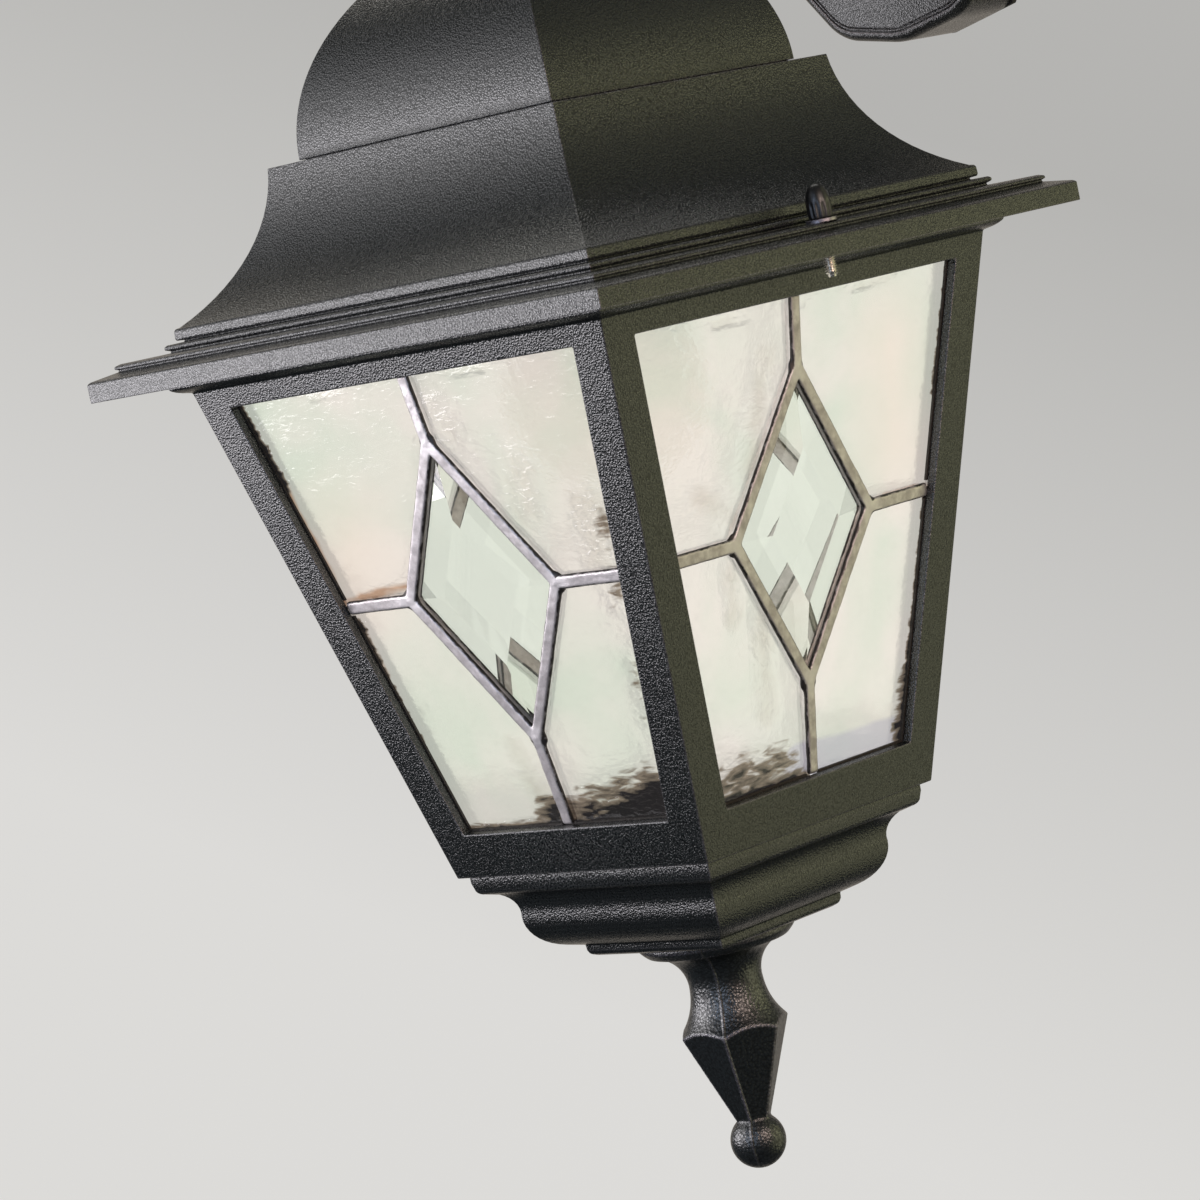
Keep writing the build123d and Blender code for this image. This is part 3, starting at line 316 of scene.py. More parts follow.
def make_coat(name, colour, highlight_colour, roughness, grain, depth, sheen, edge_sharpness=6.0, speckle=1.0, seam=None):
    """Black coat over cast metal: grain bump, painted shade in the hollows, a painted highlight on edges, a
    little dust.
    """
    tree, shader, place = start_material(name, Metallic=0.0)
    skin = use_group(tree, coat_grain, Place=place, Grain=grain)
    edges = use_group(tree, edge_finder, Sharpness=edge_sharpness, Radius=0.00005 * (4 + edge_sharpness))
    dust = times(tree, use_group(tree, settled_dust, Place=place, Amount=0.12)["Dust"], 0.35)
    lighter = [channel * 1.35 for channel in colour]
    base = blend_colours(tree, remap(tree, noise(tree, place, 35.0, 3.0), 0.35, 0.7), colour, lighter)
    height, highlight_share = skin["Height"], edges["Edge"]
    if seam is not None:
        across = Vector((math.cos(seam), math.sin(seam), 0))
        from_seam = minus(tree, reach_along(tree, place, across), spot(0, 0, 0).dot(across))
        flash = remap(tree, math_node(tree, "ABSOLUTE", from_seam), 0.0001, 0.0006, 1.0, 0.0)
        height = plus(tree, height, times(tree, flash, SEAM_RISE))
        # The seam gets a painted highlight as well.
        highlight_share = math_node(tree, "MAXIMUM", highlight_share, times(tree, flash, 0.15))
    # Painted highlight: a pale colour along edges that stand out and along the seam.
    highlighted = blend_colours(tree, times(tree, highlight_share, 0.8), base, highlight_colour)
    # Painted shade: the grain's hollows are turned almost black.
    grain_shaded = blend_colours(tree, times(tree, skin["Hollows"], speckle), highlighted, HOLLOW_SHADE)
    shine = remap(tree, skin["Tops"], 0.0, 1.0, roughness + 0.06, roughness - 0.06)
    level = remap(tree, skin["Tops"], 0.0, 1.0, sheen * (1 - 0.75 * speckle), sheen * (1 + 0.45 * speckle))
    bump = make_bump(tree, height, depth * MM, Normal=edges["Normal"])
    dusted = blend_colours(tree, dust, grain_shaded, DUST_COLOUR)
    feed(shader, Base_Color=dusted, Roughness=plus(tree, shine, dust), Normal=bump, Specular_IOR_Level=level)
    print("coat", name, "grain", grain, "mm")


# The second colour given to each coat is the painted highlight on its edges.
make_coat("black_coat", (0.0035, 0.0055, 0.006), (0.5, 0.48, 0.51), 0.25, 0.6, 0.16, 1.0, speckle=0.55)
finial_look = {"edge_sharpness": 20.0, "speckle": 0.6, "seam": SEAM_TURN}
make_coat("black_satin", (0.0035, 0.006, 0.007), (0.34, 0.31, 0.37), 0.33, 0.9, 0.16, 1.3, **finial_look)
make_coat("black_knob", grey(0.004), grey(0.05), 0.36, 0.6, 0.02, 0.8, speckle=0.2)

# %% [markdown]
# ## Bare metals
# Zinc-plated steel, brass and the lamp's aluminium cap differ in colour and in how much they are tarnished. A
# noise that is stretched round the piece gives the fine lines left by turning, and a patchy one gives the
# tarnish.

# %% Metals
TURNING_LINE = 0.25


def make_metal(name, colour, tarnish, roughness, tarnished=0.4):
    """Bare metal with turning lines and patches of tarnish."""
    tree, shader, place = start_material(name, Metallic=1.0)
    stretched = add_node(tree, "Mapping", {"Vector": place, "Scale": (0.15, 0.15, 1.0)}).outputs[0]
    lines = noise(tree, stretched, 1000.0 / TURNING_LINE, 2.0)
    spread = remap(tree, noise(tree, place, 180.0, 6.0, roughness=0.6), 0.45, 0.7, 0.0, tarnished)
    rough = plus(tree, remap(tree, lines, 0.3, 0.7, roughness - 0.06, roughness + 0.08), spread)
    edges = use_group(tree, edge_finder, Radius=0.0003)
    bump = make_bump(tree, lines, 0.00003, Normal=edges["Normal"])
    feed(shader, Base_Color=blend_colours(tree, spread, colour, tarnish), Roughness=rough, Normal=bump)
    print("metal", name)


make_metal("zinc_steel", (0.95, 0.91, 0.85), (0.62, 0.55, 0.46), 0.22, tarnished=0.2)
make_metal("dark_washer", (0.34, 0.32, 0.35), (0.16, 0.15, 0.16), 0.38)
make_metal("brass", (0.78, 0.58, 0.28), (0.35, 0.22, 0.1), 0.26)
make_metal("lamp_cap_metal", (0.78, 0.78, 0.76), (0.5, 0.49, 0.47), 0.25)

# %% [markdown]
# ## Lead and solder
# Lead oxidises to a dull lilac grey, while the solder wiped over the joints stays brighter. The joints are
# swellings of the same metal, so the mesh carries an attribute that is 1 at a joint, and the material mixes
# the two by it. A second attribute rises to 1 at the border of each strip, where a broken dark line stands
# partly for putty and dirt and partly for painted shade where the lead meets the glass.

# %% Lead
def attribute(tree, name):
    """Value that the mesh carries under a name."""
    return add_node(tree, "Attribute", attribute_name=name).outputs["Fac"]


tree, shader, place = start_material("came_lead", Metallic=0.85)
mottle = noise(tree, place, 260.0, 5.0, roughness=0.65)
dull = blend_colours(tree, remap(tree, mottle, 0.35, 0.68), (0.45, 0.42, 0.42), (0.72, 0.68, 0.69))
bright = blend_colours(tree, times(tree, attribute(tree, "solder"), 0.7), dull, (0.74, 0.71, 0.72))
lead_height = plus(tree, mottle, times(tree, noise(tree, place, 900.0, 3.0), 0.35))
lead_bump = make_bump(tree, lead_height, 0.0001, Strength=0.8)
# Broken dark line at each strip's border: partly putty and dirt, partly painted shade where lead meets glass.
broken = plus(tree, attribute(tree, "border"), times(tree, minus(tree, mottle, 0.5), 0.9))
putty_and_shade = blend_colours(tree, remap(tree, broken, 0.72, 0.9, 0.0, 0.95), bright, (0.03, 0.026, 0.024))
feed(shader, Base_Color=putty_and_shade, Roughness=remap(tree, mottle, 0.3, 0.7, 0.6, 0.38), Normal=lead_bump)
print("lead is dull, its solder bright")

# %% [markdown]
# ## Glass
# The panes are old-style textured glass: almost clear, a little cream and green, with a skin of small ripples
# that bends what lies behind it. Light from lamps should pass straight through, without the noise of
# caustics, so the material turns transparent for shadow rays only. Stains, painted shade, smudges that are
# partly painted shade, and tints, one of them painted lamp light, come from attributes of the panes, written
# further down. Each is a soft mark, which a noise makes ragged before it colours the glass. The ripples
# darken the glass a little in places as painted shade, and the glass glows, a painted light in its own colour
# that stands for the lamp's light scattered in it.

# %% Glass that lets light through
def pass_light_through(tree, shader, tint):
    """Lets shadow rays through a glass shader, tinted."""
    is_shadow = add_node(tree, "LightPath").outputs["Is Shadow Ray"]
    clear = add_node(tree, "BsdfTransparent", {"Color": tint}).outputs[0]
    show(tree, mix_shaders(tree, is_shadow, shader.outputs[0], clear))


def break_up(tree, mark, ragged, swing, low, high):
    """Turns a soft mark into a ragged one with a noise."""
    wavering = times(tree, minus(tree, ragged, 0.5), swing)
    there = remap(tree, mark, 0.0, 0.25)
    return remap(tree, plus(tree, mark, times(tree, wavering, there)), low, high)


plain = {"IOR": 1.5, "Metallic": 0.0, "Transmission_Weight": 1.0, "Roughness": 0.0, "Specular_IOR_Level": 0.1}
tree, shader, place = start_material("clear_glass", **plain)
clean = blend_colours(tree, noise(tree, place, 40.0, 4.0), (0.9, 0.93, 0.88), (0.93, 0.945, 0.9))
feed(shader, Base_Color=clean)
pass_light_through(tree, shader, (0.9, 0.92, 0.88))

# %% Textured glass
RIPPLE = 3.6
GLOW_SHARE = 0.375
SEEN_SHARE = 0.38
MARK_NAMES = ("stain", "shade", "smudge_and_shade", "warm", "lilac")
tree, shader, place = start_material("water_glass", IOR=1.45, Transmission_Weight=1.0, Emission_Strength=1.0)
marks = {name: attribute(tree, name) for name in MARK_NAMES}
flattened = add_node(tree, "Mapping", {"Vector": place, "Scale": (1.0, 1.0, 2.2)}).outputs[0]
streaky = add_node(tree, "Mapping", {"Vector": place, "Scale": (0.4, 0.4, 1.6)}).outputs[0]
waves = noise(tree, flattened, 1000 / RIPPLE, 1.5, distortion=0.7)
streaks = noise(tree, streaky, 1000 / RIPPLE, 2.0, distortion=0.6)
swirl = noise(tree, place, 80.0, 3.0, distortion=0.8)
cloud = noise(tree, place, 24.0, 3.0, distortion=0.6)
swing = remap(tree, math_node(tree, "MAXIMUM", marks["shade"], marks["smudge_and_shade"]), 0.0, 0.5, 0.4, 1.0)
pane_height = times(tree, plus(tree, waves, times(tree, swirl, 2.0)), swing)
pane_bump = make_bump(tree, pane_height, 0.0003)
shade = break_up(tree, marks["shade"], streaks, 1.7, 0.2, 0.9)
stain = break_up(tree, marks["stain"], swirl, 1.5, 0.2, 0.9)
smudge_and_shade = break_up(tree, marks["smudge_and_shade"], swirl, 1.6, 0.2, 1.2)
lilac = break_up(tree, marks["lilac"], cloud, 1.0, 0.25, 0.5)
tone = blend_colours(tree, remap(tree, cloud, 0.35, 0.65), (0.79, 0.83, 0.74), (0.92, 0.87, 0.82))
# Tints over the glass's tone, in order: painted shade on part of the ripples, painted warm lamp light,
# smudges, lilac, amber stain, and painted shade from brown to black.
for share, tint in (
    (times(tree, remap(tree, waves, 0.5, 0.68, 0.0, 0.12), swing), (0.45, 0.42, 0.38)),
    (times(tree, marks["warm"], 0.5), (0.95, 0.8, 0.68)),
    (times(tree, smudge_and_shade, 0.5), (0.5, 0.42, 0.34)),
    (times(tree, lilac, 0.85), (0.6, 0.59, 0.68)),
    (times(tree, stain, 0.8), (0.5, 0.22, 0.08)),
    (remap(tree, shade, 0.0, 0.45), (0.2, 0.15, 0.11)),
    (remap(tree, shade, 0.45, 1.0), (0.006, 0.005, 0.006)),
):
    tone = blend_colours(tree, share, tone, tint)
# Painted light: the panes glow in the colour of the glass, standing for the lamp's light scattered in it;
# GLOW_SHARE sets how much.
seen, glow = (blend_colours(tree, 1.0, tone, grey(share), "MULTIPLY") for share in (SEEN_SHARE, GLOW_SHARE))
rough = remap(tree, marks["shade"], 0.0, 1.0, 0.16, 0.05)
feed(shader, Base_Color=seen, Emission_Color=glow, Roughness=rough, Normal=pane_bump)
pass_light_through(tree, shader, (0.75, 0.75, 0.7))
print("glass ripples", RIPPLE, "mm apart")

# %% [markdown]
# ## Plastics, rubber and putty
# What is left is moulded or soft. One function makes them all: a colour that wanders a little, a bump whose
# grain is the mould's or the foam's, and the roughness of the stuff. The globe is opal plastic that glows
# when the lamp is lit.

# %% Soft and moulded finishes
GLOW = 0.3


def make_moulded(name, colour, roughness, grain=0.5, depth=0.03, wander=0.15, **plain):
    """Plastic, rubber or putty with its own grain and a slightly uneven colour."""
    tree, shader, place = start_material(name, **plain)
    grains = noise(tree, place, 1000.0 / grain, 3.0)
    darker, lighter = ([min(1.0, c * share) for c in colour] for share in (1 - wander, 1 + wander))
    bump = make_bump(tree, grains, depth * MM)
    rough = remap(tree, grains, 0.3, 0.7, roughness - 0.05, roughness + 0.05)
    uneven = blend_colours(tree, noise(tree, place, 60.0, 3.0), darker, lighter)
    feed(shader, Base_Color=uneven, Roughness=rough, Normal=bump)
    return tree, shader, place


make_moulded("black_rubber", grey(0.02), 0.8, grain=0.7, depth=0.15)
make_moulded("putty", (0.025, 0.02, 0.016), 0.7, grain=1.2, depth=0.4, wander=0.5)
make_moulded("holder_plastic", grey(0.018), 0.45)
make_moulded("white_plastic", (0.78, 0.78, 0.75), 0.4, wander=0.03)
make_moulded("lead_sheath", (0.7, 0.7, 0.68), 0.5, wander=0.05)
make_moulded("core_brown", (0.2, 0.09, 0.04), 0.35)
make_moulded("core_blue", (0.04, 0.16, 0.55), 0.35)
make_moulded("core_green", (0.3, 0.55, 0.08), 0.35)
tree, shader, place = make_moulded("opal_globe", (0.45, 0.42, 0.38), 0.3, wander=0.02, Emission_Strength=GLOW)
lamp_light = blend_colours(tree, noise(tree, place, 30.0), (1.0, 0.82, 0.58), (1.0, 0.88, 0.7))
feed(shader, Emission_Color=lamp_light)
print("finishes so far:", len(MATERIALS))

# %% Finish for every CAD node
slot_of = {row["node"]: row["material_slot"] for row in frame["record"]["subparts"]}
for name, node in frame["nodes"].items():
    node.data.materials.clear()
    node.data.materials.append(MATERIALS[slot_of[name]])
print("dressed", len(slot_of), "CAD nodes")

# %% [markdown]
# ## Helpers for modelling
# Nearly every casting is a ring of corners carried up a profile: four corners for a square casting, many for
# a turned one. That is how the pattern for such a casting is made too, by running one moulding round all its
# sides. The profile is a list of half-widths and heights, and where it comes back to its start it makes a
# hollow wall.

# %% Profiles
def arc(start, middle, end, steps):
    """Points along the circle through three points, without the first."""
    a, b, c = (complex(*point) for point in (start, middle, end))
    ratio = (c - a) / (b - a)
    centre = (b - a) * (ratio - abs(ratio) ** 2) / (2j * ratio.imag) + a
    turn = cmath.phase((c - centre) / (a - centre))
    points = [centre + (a - centre) * cmath.exp(1j * turn * step / steps) for step in range(1, steps + 1)]
    return [(point.real, point.imag) for point in points]


print("quarter circle:", [(round(x, 2), round(y, 2)) for x, y in arc((1, 0), (0.7071, 0.7071), (0, 1), 3)])

# %% Selecting
def only(piece):
    """Makes one piece the only one selected, and active."""
    bpy.ops.object.select_all(action="DESELECT")
    piece.select_set(True)
    bpy.context.view_layer.objects.active = piece
    return piece


def edit(piece):
    """Opens one piece in edit mode."""
    only(piece)
    bpy.ops.object.mode_set(mode="EDIT")


def take_all():
    """Selects all of the piece that is being edited."""
    bpy.ops.mesh.select_all(action="SELECT")


def leave():
    """Leaves edit mode."""
    bpy.ops.object.mode_set(mode="OBJECT")


def face_out():
    """Turns every face outwards, and leaves edit mode."""
    take_all()
    bpy.ops.mesh.normals_make_consistent(inside=False)
    leave()


def pick(piece, test, kind="faces"):
    """In edit mode, selects only the faces, edges or vertices that pass a test, and counts them."""
    shape = bmesh.from_edit_mesh(piece.data)
    bpy.ops.mesh.select_mode(type={"faces": "FACE", "edges": "EDGE", "verts": "VERT"}[kind])
    bpy.ops.mesh.select_all(action="DESELECT")
    chosen = [part for part in getattr(shape, kind) if test(part)]
    for part in chosen:
        part.select_set(True)
    bmesh.update_edit_mesh(piece.data)
    return len(chosen)


def smooth(angle):
    """Shades the selected piece smooth, apart from edges over an angle."""
    bpy.ops.object.shade_smooth_by_angle(angle=math.radians(angle))


# %% Stacked rings
MERGE = 0.000002


def add_mesh(kind, name=None, **settings):
    """Adds a primitive as the only selected piece, with its place, turn and size applied to its points."""
    bpy.ops.object.select_all(action="DESELECT")
    getattr(bpy.ops.mesh, f"primitive_{kind}_add")(**settings)
    piece = bpy.context.object
    piece.name = name or kind
    bpy.ops.object.transform_apply()
    return piece


def stack(name, profile, sides=4, closed=True, centre=(0.0, 0.0)):
    """Carries a ring of corners along a profile; a closed profile ends where it began."""
    corner = MM / math.cos(math.pi / sides) if sides < 12 else MM
    half, height = profile[0]
    place = {"location": spot(*centre, height), "rotation": (0, 0, math.pi / sides)}
    piece = add_mesh("circle", name, vertices=sides, radius=half * corner, **place)
    edit(piece)
    bpy.ops.mesh.select_mode(type="EDGE")
    take_all()
    for next_half, next_height in profile[1:]:
        rise = (next_height - height) * MM
        bpy.ops.mesh.extrude_region_move(TRANSFORM_OT_translate={"value": (0, 0, rise)})
        share = next_half / half
        bpy.ops.transform.resize(value=(share, share, 1), center_override=spot(*centre, next_height))
        half, height = next_half, next_height
    take_all()
    bpy.ops.mesh.remove_doubles(threshold=MERGE)
    if not closed:
        bpy.ops.mesh.fill_holes(sides=0)
    face_out()
    return piece


# %% Modifiers and joins
def apply_modifier(piece, kind, **settings):
    """Adds a modifier with its settings and applies it."""
    only(piece)
    modifier = piece.modifiers.new(kind.lower(), kind)
    for key, value in settings.items():
        setattr(modifier, key, value)
    bpy.ops.object.modifier_apply(modifier=modifier.name)
    return piece


ARRIS_ANGLE = math.radians(28)


def soften(piece, width):
    """Rounds the arrises of a casting, and shades it so that its flat faces stay flat."""
    settings = {"limit_method": "ANGLE", "angle_limit": ARRIS_ANGLE, "segments": 2, "width": width * MM}
    apply_modifier(piece, "BEVEL", miter_outer="MITER_ARC", **settings)
    smooth(50)
    return apply_modifier(piece, "WEIGHTED_NORMAL", keep_sharp=True)


def join(pieces, name):
    """Joins pieces into the first one."""
    only(pieces[0])
    for piece in pieces:
        piece.select_set(True)
    bpy.ops.object.join()
    pieces[0].name = name
    return pieces[0]


def seat(piece, body, nodes, finish):
    """Gives a finished piece its finish and its body, and lets it stand for its CAD nodes."""
    only(piece)
    bpy.ops.object.transform_apply()
    piece.data.materials.clear()
    piece.data.materials.append(MATERIALS[finish])
    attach(piece, body)
    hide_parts(*nodes)
    print(piece.name, len(piece.data.polygons), "faces on", body)
    return piece


# %% [markdown]
# ## Roof
# The roof is two castings: a concave skirt with a stepped rim, and a dome that stands on the skirt's flat
# ledge on a foot a little smaller than itself, which leaves the dark line between them. Both are hollow, so
# each profile goes up the outside and comes back down the inside.

# %% Roof skirt
LEDGE = 59.5
RIM_BEAD = [(88.7, 17.1), (89.1, 16.5), (89.2, 14.2), (88.9, 13.6), (87.2, 13.4), (87.4, 12.9)]
RIM_FILLET = [(91.2, 12.8), (91.9, 12.3), (91.9, 11.4), (90.6, 10.8), (90.8, 10.2)]
RIM_FLAT = [(102.0, 10.1), (103.3, 9.6), (103.5, 8.8), (102.5, 8.3), (102.8, 7.8), (109.2, 6.4), (110.0, 5.8)]
skirt_outside = [(36.0, LEDGE), (61.9, LEDGE), *arc((61.9, LEDGE), (69.5, 35.8), (87.7, 17.35), 14)]
skirt_outside += RIM_BEAD + RIM_FILLET + RIM_FLAT + [(110.0, 0.0)]
skirt_inside = [(107.0, 0.0), (107.0, 2.6), (102.6, 5.6), (101.0, 7.1), (84.6, 7.1), (84.6, 14.9)]
skirt_back = [*arc((84.6, 14.9), (66.7, 34.0), (58.8, 56.5), 10), (36.0, 56.5), (36.0, LEDGE)]
roof_skirt = soften(stack("cast_roof_skirt", skirt_outside + skirt_inside + skirt_back), 0.2)
seat(roof_skirt, "fixture", ["roof_skirt"], "black_coat")

# %% Roof dome
DOME_LOW = -5.8
DOME_MIDDLE = 60.0
OUTER_RADIUS = 60.6
INNER_RADIUS = 57.6
CROWN = 115.0
CROWN_INSIDE = 111.0
TUBE_BORE = 5.3


def dome_half(height, radius):
    """Half-width of the dome at a height."""
    return DOME_LOW + math.sqrt(radius**2 - (height - DOME_MIDDLE) ** 2)


dome_profile = [(TUBE_BORE, CROWN)]
dome_profile += [(dome_half(height, OUTER_RADIUS), height) for height in np.linspace(CROWN, DOME_MIDDLE, 22)]
dome_profile += [(53.4, DOME_MIDDLE), (53.4, LEDGE)]
dome_profile += [(dome_half(height, INNER_RADIUS), height) for height in np.linspace(LEDGE, CROWN_INSIDE, 16)]
dome_profile += [(TUBE_BORE, CROWN_INSIDE), (TUBE_BORE, CROWN)]
dome = soften(stack("cast_roof_dome", dome_profile), 0.2)
PILLAR_AT = 46.5
pillar_profile = [(2.0, LEDGE), (4.5, LEDGE), (4.5, 74.0), (2.0, 74.0), (2.0, LEDGE)]
corners = [(x * PILLAR_AT, y * PILLAR_AT) for x in (-1, 1) for y in (-1, 1)]
pillars = [stack("pillar", pillar_profile, sides=24, centre=corner) for corner in corners]
seat(join([dome, *pillars], "cast_roof_dome"), "fixture", ["roof_dome"], "black_coat")

# %% Roof collar
collar_profile = [(TUBE_BORE, CROWN), (19.0, CROWN), (19.0, 118.0), (17.6, 118.6)]
collar_profile += arc((17.6, 118.6), (14.6, 121.6), (13.4, 125.6), 10)
collar_profile += [(14.2, 126.0), (14.2, 128.0), (TUBE_BORE, 128.0), (TUBE_BORE, CROWN)]
collar = soften(stack("cast_roof_collar", collar_profile, sides=72), 0.35)
seat(collar, "fixture", ["roof_collar"], "black_coat")

# %% [markdown]
# ## Cage
# The cage is one casting too: four sloping sides with a window in each, a flange that meets the roof, and a
# floor. It is stacked as a hollow box, and then each side is cut by four planes along the edges of its
# window. The two faces that are left in the middle, one outside and one inside, are bridged, which opens the
# window and makes its reveal.

# %% Cage measures
CAGE_TOP = -3.1
CAGE_FOOT = -167.4
CAGE_TOP_HALF = 88.0
CAGE_FOOT_HALF = 53.3
CAGE_BORE = 3.1
TAPER = math.atan((CAGE_TOP_HALF - CAGE_FOOT_HALF) / (CAGE_TOP - CAGE_FOOT))
STILE = 12.8
WINDOW_TOP = 6.8
WINDOW_FOOT = 153.4
FLOOR_TOP = -163.4
SIDES = {"front": 0, "right": 90, "back": 180, "left": 270}


def cage_half(height, depth=0.0):
    """Half-width of a cage side at a height, at a depth into it."""
    return CAGE_TOP_HALF + (height - CAGE_TOP) * math.tan(TAPER) - depth / math.cos(TAPER)


def window_half(slope):
    """Half-width of a window at a length down the slope of its side."""
    return CAGE_TOP_HALF - slope * math.sin(TAPER) - STILE


def side_frame(angle, depth=0.0):
    """Matrix of a cage side, in millimetres: X across it, Y up its slope from the top edge, Z out of it."""
    turn = math.radians(angle)
    outward = Vector((math.sin(turn), -math.cos(turn), 0))
    across = Vector((math.cos(turn), math.sin(turn), 0))
    normal = outward * math.cos(TAPER) - Vector((0, 0, math.sin(TAPER)))
    edge = spot(0, 0, CAGE_TOP) + outward * CAGE_TOP_HALF * MM - normal * depth * MM
    turned = Matrix((across, normal.cross(across), normal)).transposed().to_4x4()
    return Matrix.Translation(edge) @ turned @ Matrix.Scale(MM, 4)


def window_corners(lap=0.0, top_lap=None, foot_lap=None):
    """Corners of a window in its side's own millimetres, grown by laps."""
    top = WINDOW_TOP - (lap if top_lap is None else top_lap)
    foot = WINDOW_FOOT + (lap if foot_lap is None else foot_lap)
    wide, narrow = window_half(top) + lap, window_half(foot) + lap
    return [Vector((x, y, 0)) for x, y in ((-wide, -top), (wide, -top), (narrow, -foot), (-narrow, -foot))]


print("taper", round(math.degrees(TAPER), 2), "degrees")
print("window", round(2 * window_half(WINDOW_TOP), 1), "mm at its top")

# %% Cutting windows
PARALLEL = 0.9999


def round_trip(corners):
    """Pairs each corner with the next one, and the last with the first."""
    return zip(corners, corners[1:] + corners[:1])


def cut_windows(piece, corners_flat):
    """Cuts a window through both walls of each of the four sides, and bridges its reveal."""
    for side, angle in SIDES.items():
        place = side_frame(angle)
        normal = place.to_3x3().col[2].normalized()
        corners = [place @ corner for corner in corners_flat]
        edges = list(round_trip(corners))
        edit(piece)
        for start, end in edges:
            pick(piece, lambda face: abs(face.normal.dot(normal)) > PARALLEL)
            bpy.ops.mesh.bisect(plane_co=start, plane_no=(end - start).cross(normal).normalized())

        def in_window(face):
            """A face of this side whose middle lies inside all four edges."""
            centre = face.calc_center_median()
            beyond = ((end - start).cross(normal).dot(centre - start) < 0 for start, end in edges)
            return abs(face.normal.dot(normal)) > PARALLEL and not any(beyond)

        count = pick(piece, in_window)
        bpy.ops.mesh.bridge_edge_loops()
        leave()
        print("window", side, "opened through", count, "faces")
    return piece


# %% Cage frame
CAGE_WALL = 3.2
RIB_FRONT = 8.2
RIB_BACK = 10.2
RIB_TOP = 5.5
LIP_TOP = 5.6
lip = [(89.6, -2.6), *arc((89.6, -2.6), (91.6, -1.9), (93.0, -0.9), 5), (93.0, LIP_TOP)]
shell_profile = [(CAGE_BORE, CAGE_FOOT), (CAGE_FOOT_HALF, CAGE_FOOT), (CAGE_TOP_HALF, CAGE_TOP), *lip]
shell_profile += [(cage_half(LIP_TOP, CAGE_WALL), LIP_TOP), (cage_half(FLOOR_TOP, CAGE_WALL), FLOOR_TOP)]
shell_profile += [(CAGE_BORE, FLOOR_TOP), (CAGE_BORE, CAGE_FOOT)]
shell = cut_windows(stack("cast_cage", shell_profile), window_corners())
rib_ring = [(RIB_TOP, RIB_FRONT), (FLOOR_TOP, RIB_FRONT), (FLOOR_TOP, RIB_BACK), (RIB_TOP, RIB_BACK)]
rib_profile = [(cage_half(height, depth), height) for height, depth in rib_ring + rib_ring[:1]]
ribs = cut_windows(stack("ribs", rib_profile), window_corners(0.5, top_lap=14.0, foot_lap=13.9))
for piece, rounding in ((shell, 0.45), (ribs, 0.3)):
    soften(piece, rounding)

# %% Corner posts and ears
POST_DEPTH = 5.8
POST_WIDTH = 5.4
EAR_X = 97.75
EAR_HEIGHT = 3.0
EAR_SIZE = (9.5, 14.0, 4.0)
posts = []
for sx, sy in ((1, 1), (1, -1), (-1, 1), (-1, -1)):
    low, high = cage_half(FLOOR_TOP) - POST_DEPTH, cage_half(CAGE_TOP) - POST_DEPTH
    post = add_mesh("cube", size=POST_WIDTH * MM, location=spot(sx * low, sy * low, FLOOR_TOP))
    edit(post)
    pick(post, lambda vert: vert.co.z > spot(0, 0, FLOOR_TOP).z, kind="verts")
    lean = (high - low) * MM
    bpy.ops.transform.translate(value=(sx * lean, sy * lean, (CAGE_TOP - FLOOR_TOP - POST_WIDTH / 2) * MM))
    leave()
    posts.append(soften(post, 0.4))
ear_places = [spot(side * EAR_X, 0, EAR_HEIGHT) for side in (1, -1)]
ears = [soften(add_mesh("cube", size=MM, location=place, scale=EAR_SIZE), 0.6) for place in ear_places]
cage = join([shell, ribs, *posts, *ears], "cast_cage")
seat(cage, "cage", ["cage_frame"], "black_coat")

# %% [markdown]
# ## Base pan and finial
# Below the cage hangs a moulded pan, square like the roof, and from it the finial: a round flange and a
# narrow waist that swell into a six-sided drop whose shoulders are cut round, and a ball. The drop is the
# part that a turned outline and a six-sided spike have in common, so the two are intersected. A fine voxel
# remesh then melts all edges a little, as the sand and the coat do.

# %% Base pan
PAN_FOOT = -199.7
PAN_FLOOR = -191.8
pan_profile = [(CAGE_BORE, PAN_FOOT), (26.6, PAN_FOOT), (28.1, -199.0), (28.7, -197.6), (28.8, -195.8)]
pan_profile += [(33.0, -194.5), *arc((33.0, -194.5), (38.9, -190.4), (41.3, -183.0), 9)]
pan_profile += arc((41.3, -183.0), (42.2, -178.0), (45.2, -174.8), 7)
pan_profile += [(48.0, -173.9), *arc((48.0, -173.9), (49.5, -173.2), (50.2, -171.6), 5), (50.7, -169.6)]
pan_profile += [(50.7, CAGE_FOOT), (47.2, CAGE_FOOT), (47.2, -171.4), (42.4, -173.0), (38.2, -178.0)]
pan_profile += [(37.4, -184.0), (35.0, -188.8), (30.0, PAN_FLOOR), (CAGE_BORE, PAN_FLOOR)]
pan_profile += [(CAGE_BORE, PAN_FOOT)]
pan = soften(stack("cast_base_pan", pan_profile), 0.4)
seat(pan, "cage", ["base_pan"], "black_coat")

# %% Finial
VOXEL = 0.45
HEX_TOP = -222.0
HEX_FOOT = -260.0
HEX_FOOT_CORNER = 5.8
HEX_SLOPE = (17.7 - HEX_FOOT_CORNER) / (-231.0 - HEX_FOOT)
BALL_RADIUS = 8.8
BALL_FOOT = -276.1
turned_line = [(25.0, PAN_FOOT), (25.0, -201.2), *arc((25.0, -201.2), (24.0, -202.4), (22.4, -203.9), 6)]
turned_line += arc((22.4, -203.9), (14.9, -207.4), (11.7, -217.0), 12)
turned_line += arc((11.7, -217.0), (13.2, -223.8), (17.3, -230.3), 10)
neck = [point for point in turned_line if point[1] > HEX_TOP]
finial = stack("cast_finial", [*neck, (12.5, HEX_TOP - 0.2)], sides=96, closed=False)
lathe = stack("lathe", [*turned_line, (24.0, -237.0), (24.0, -262.0)], sides=96, closed=False)
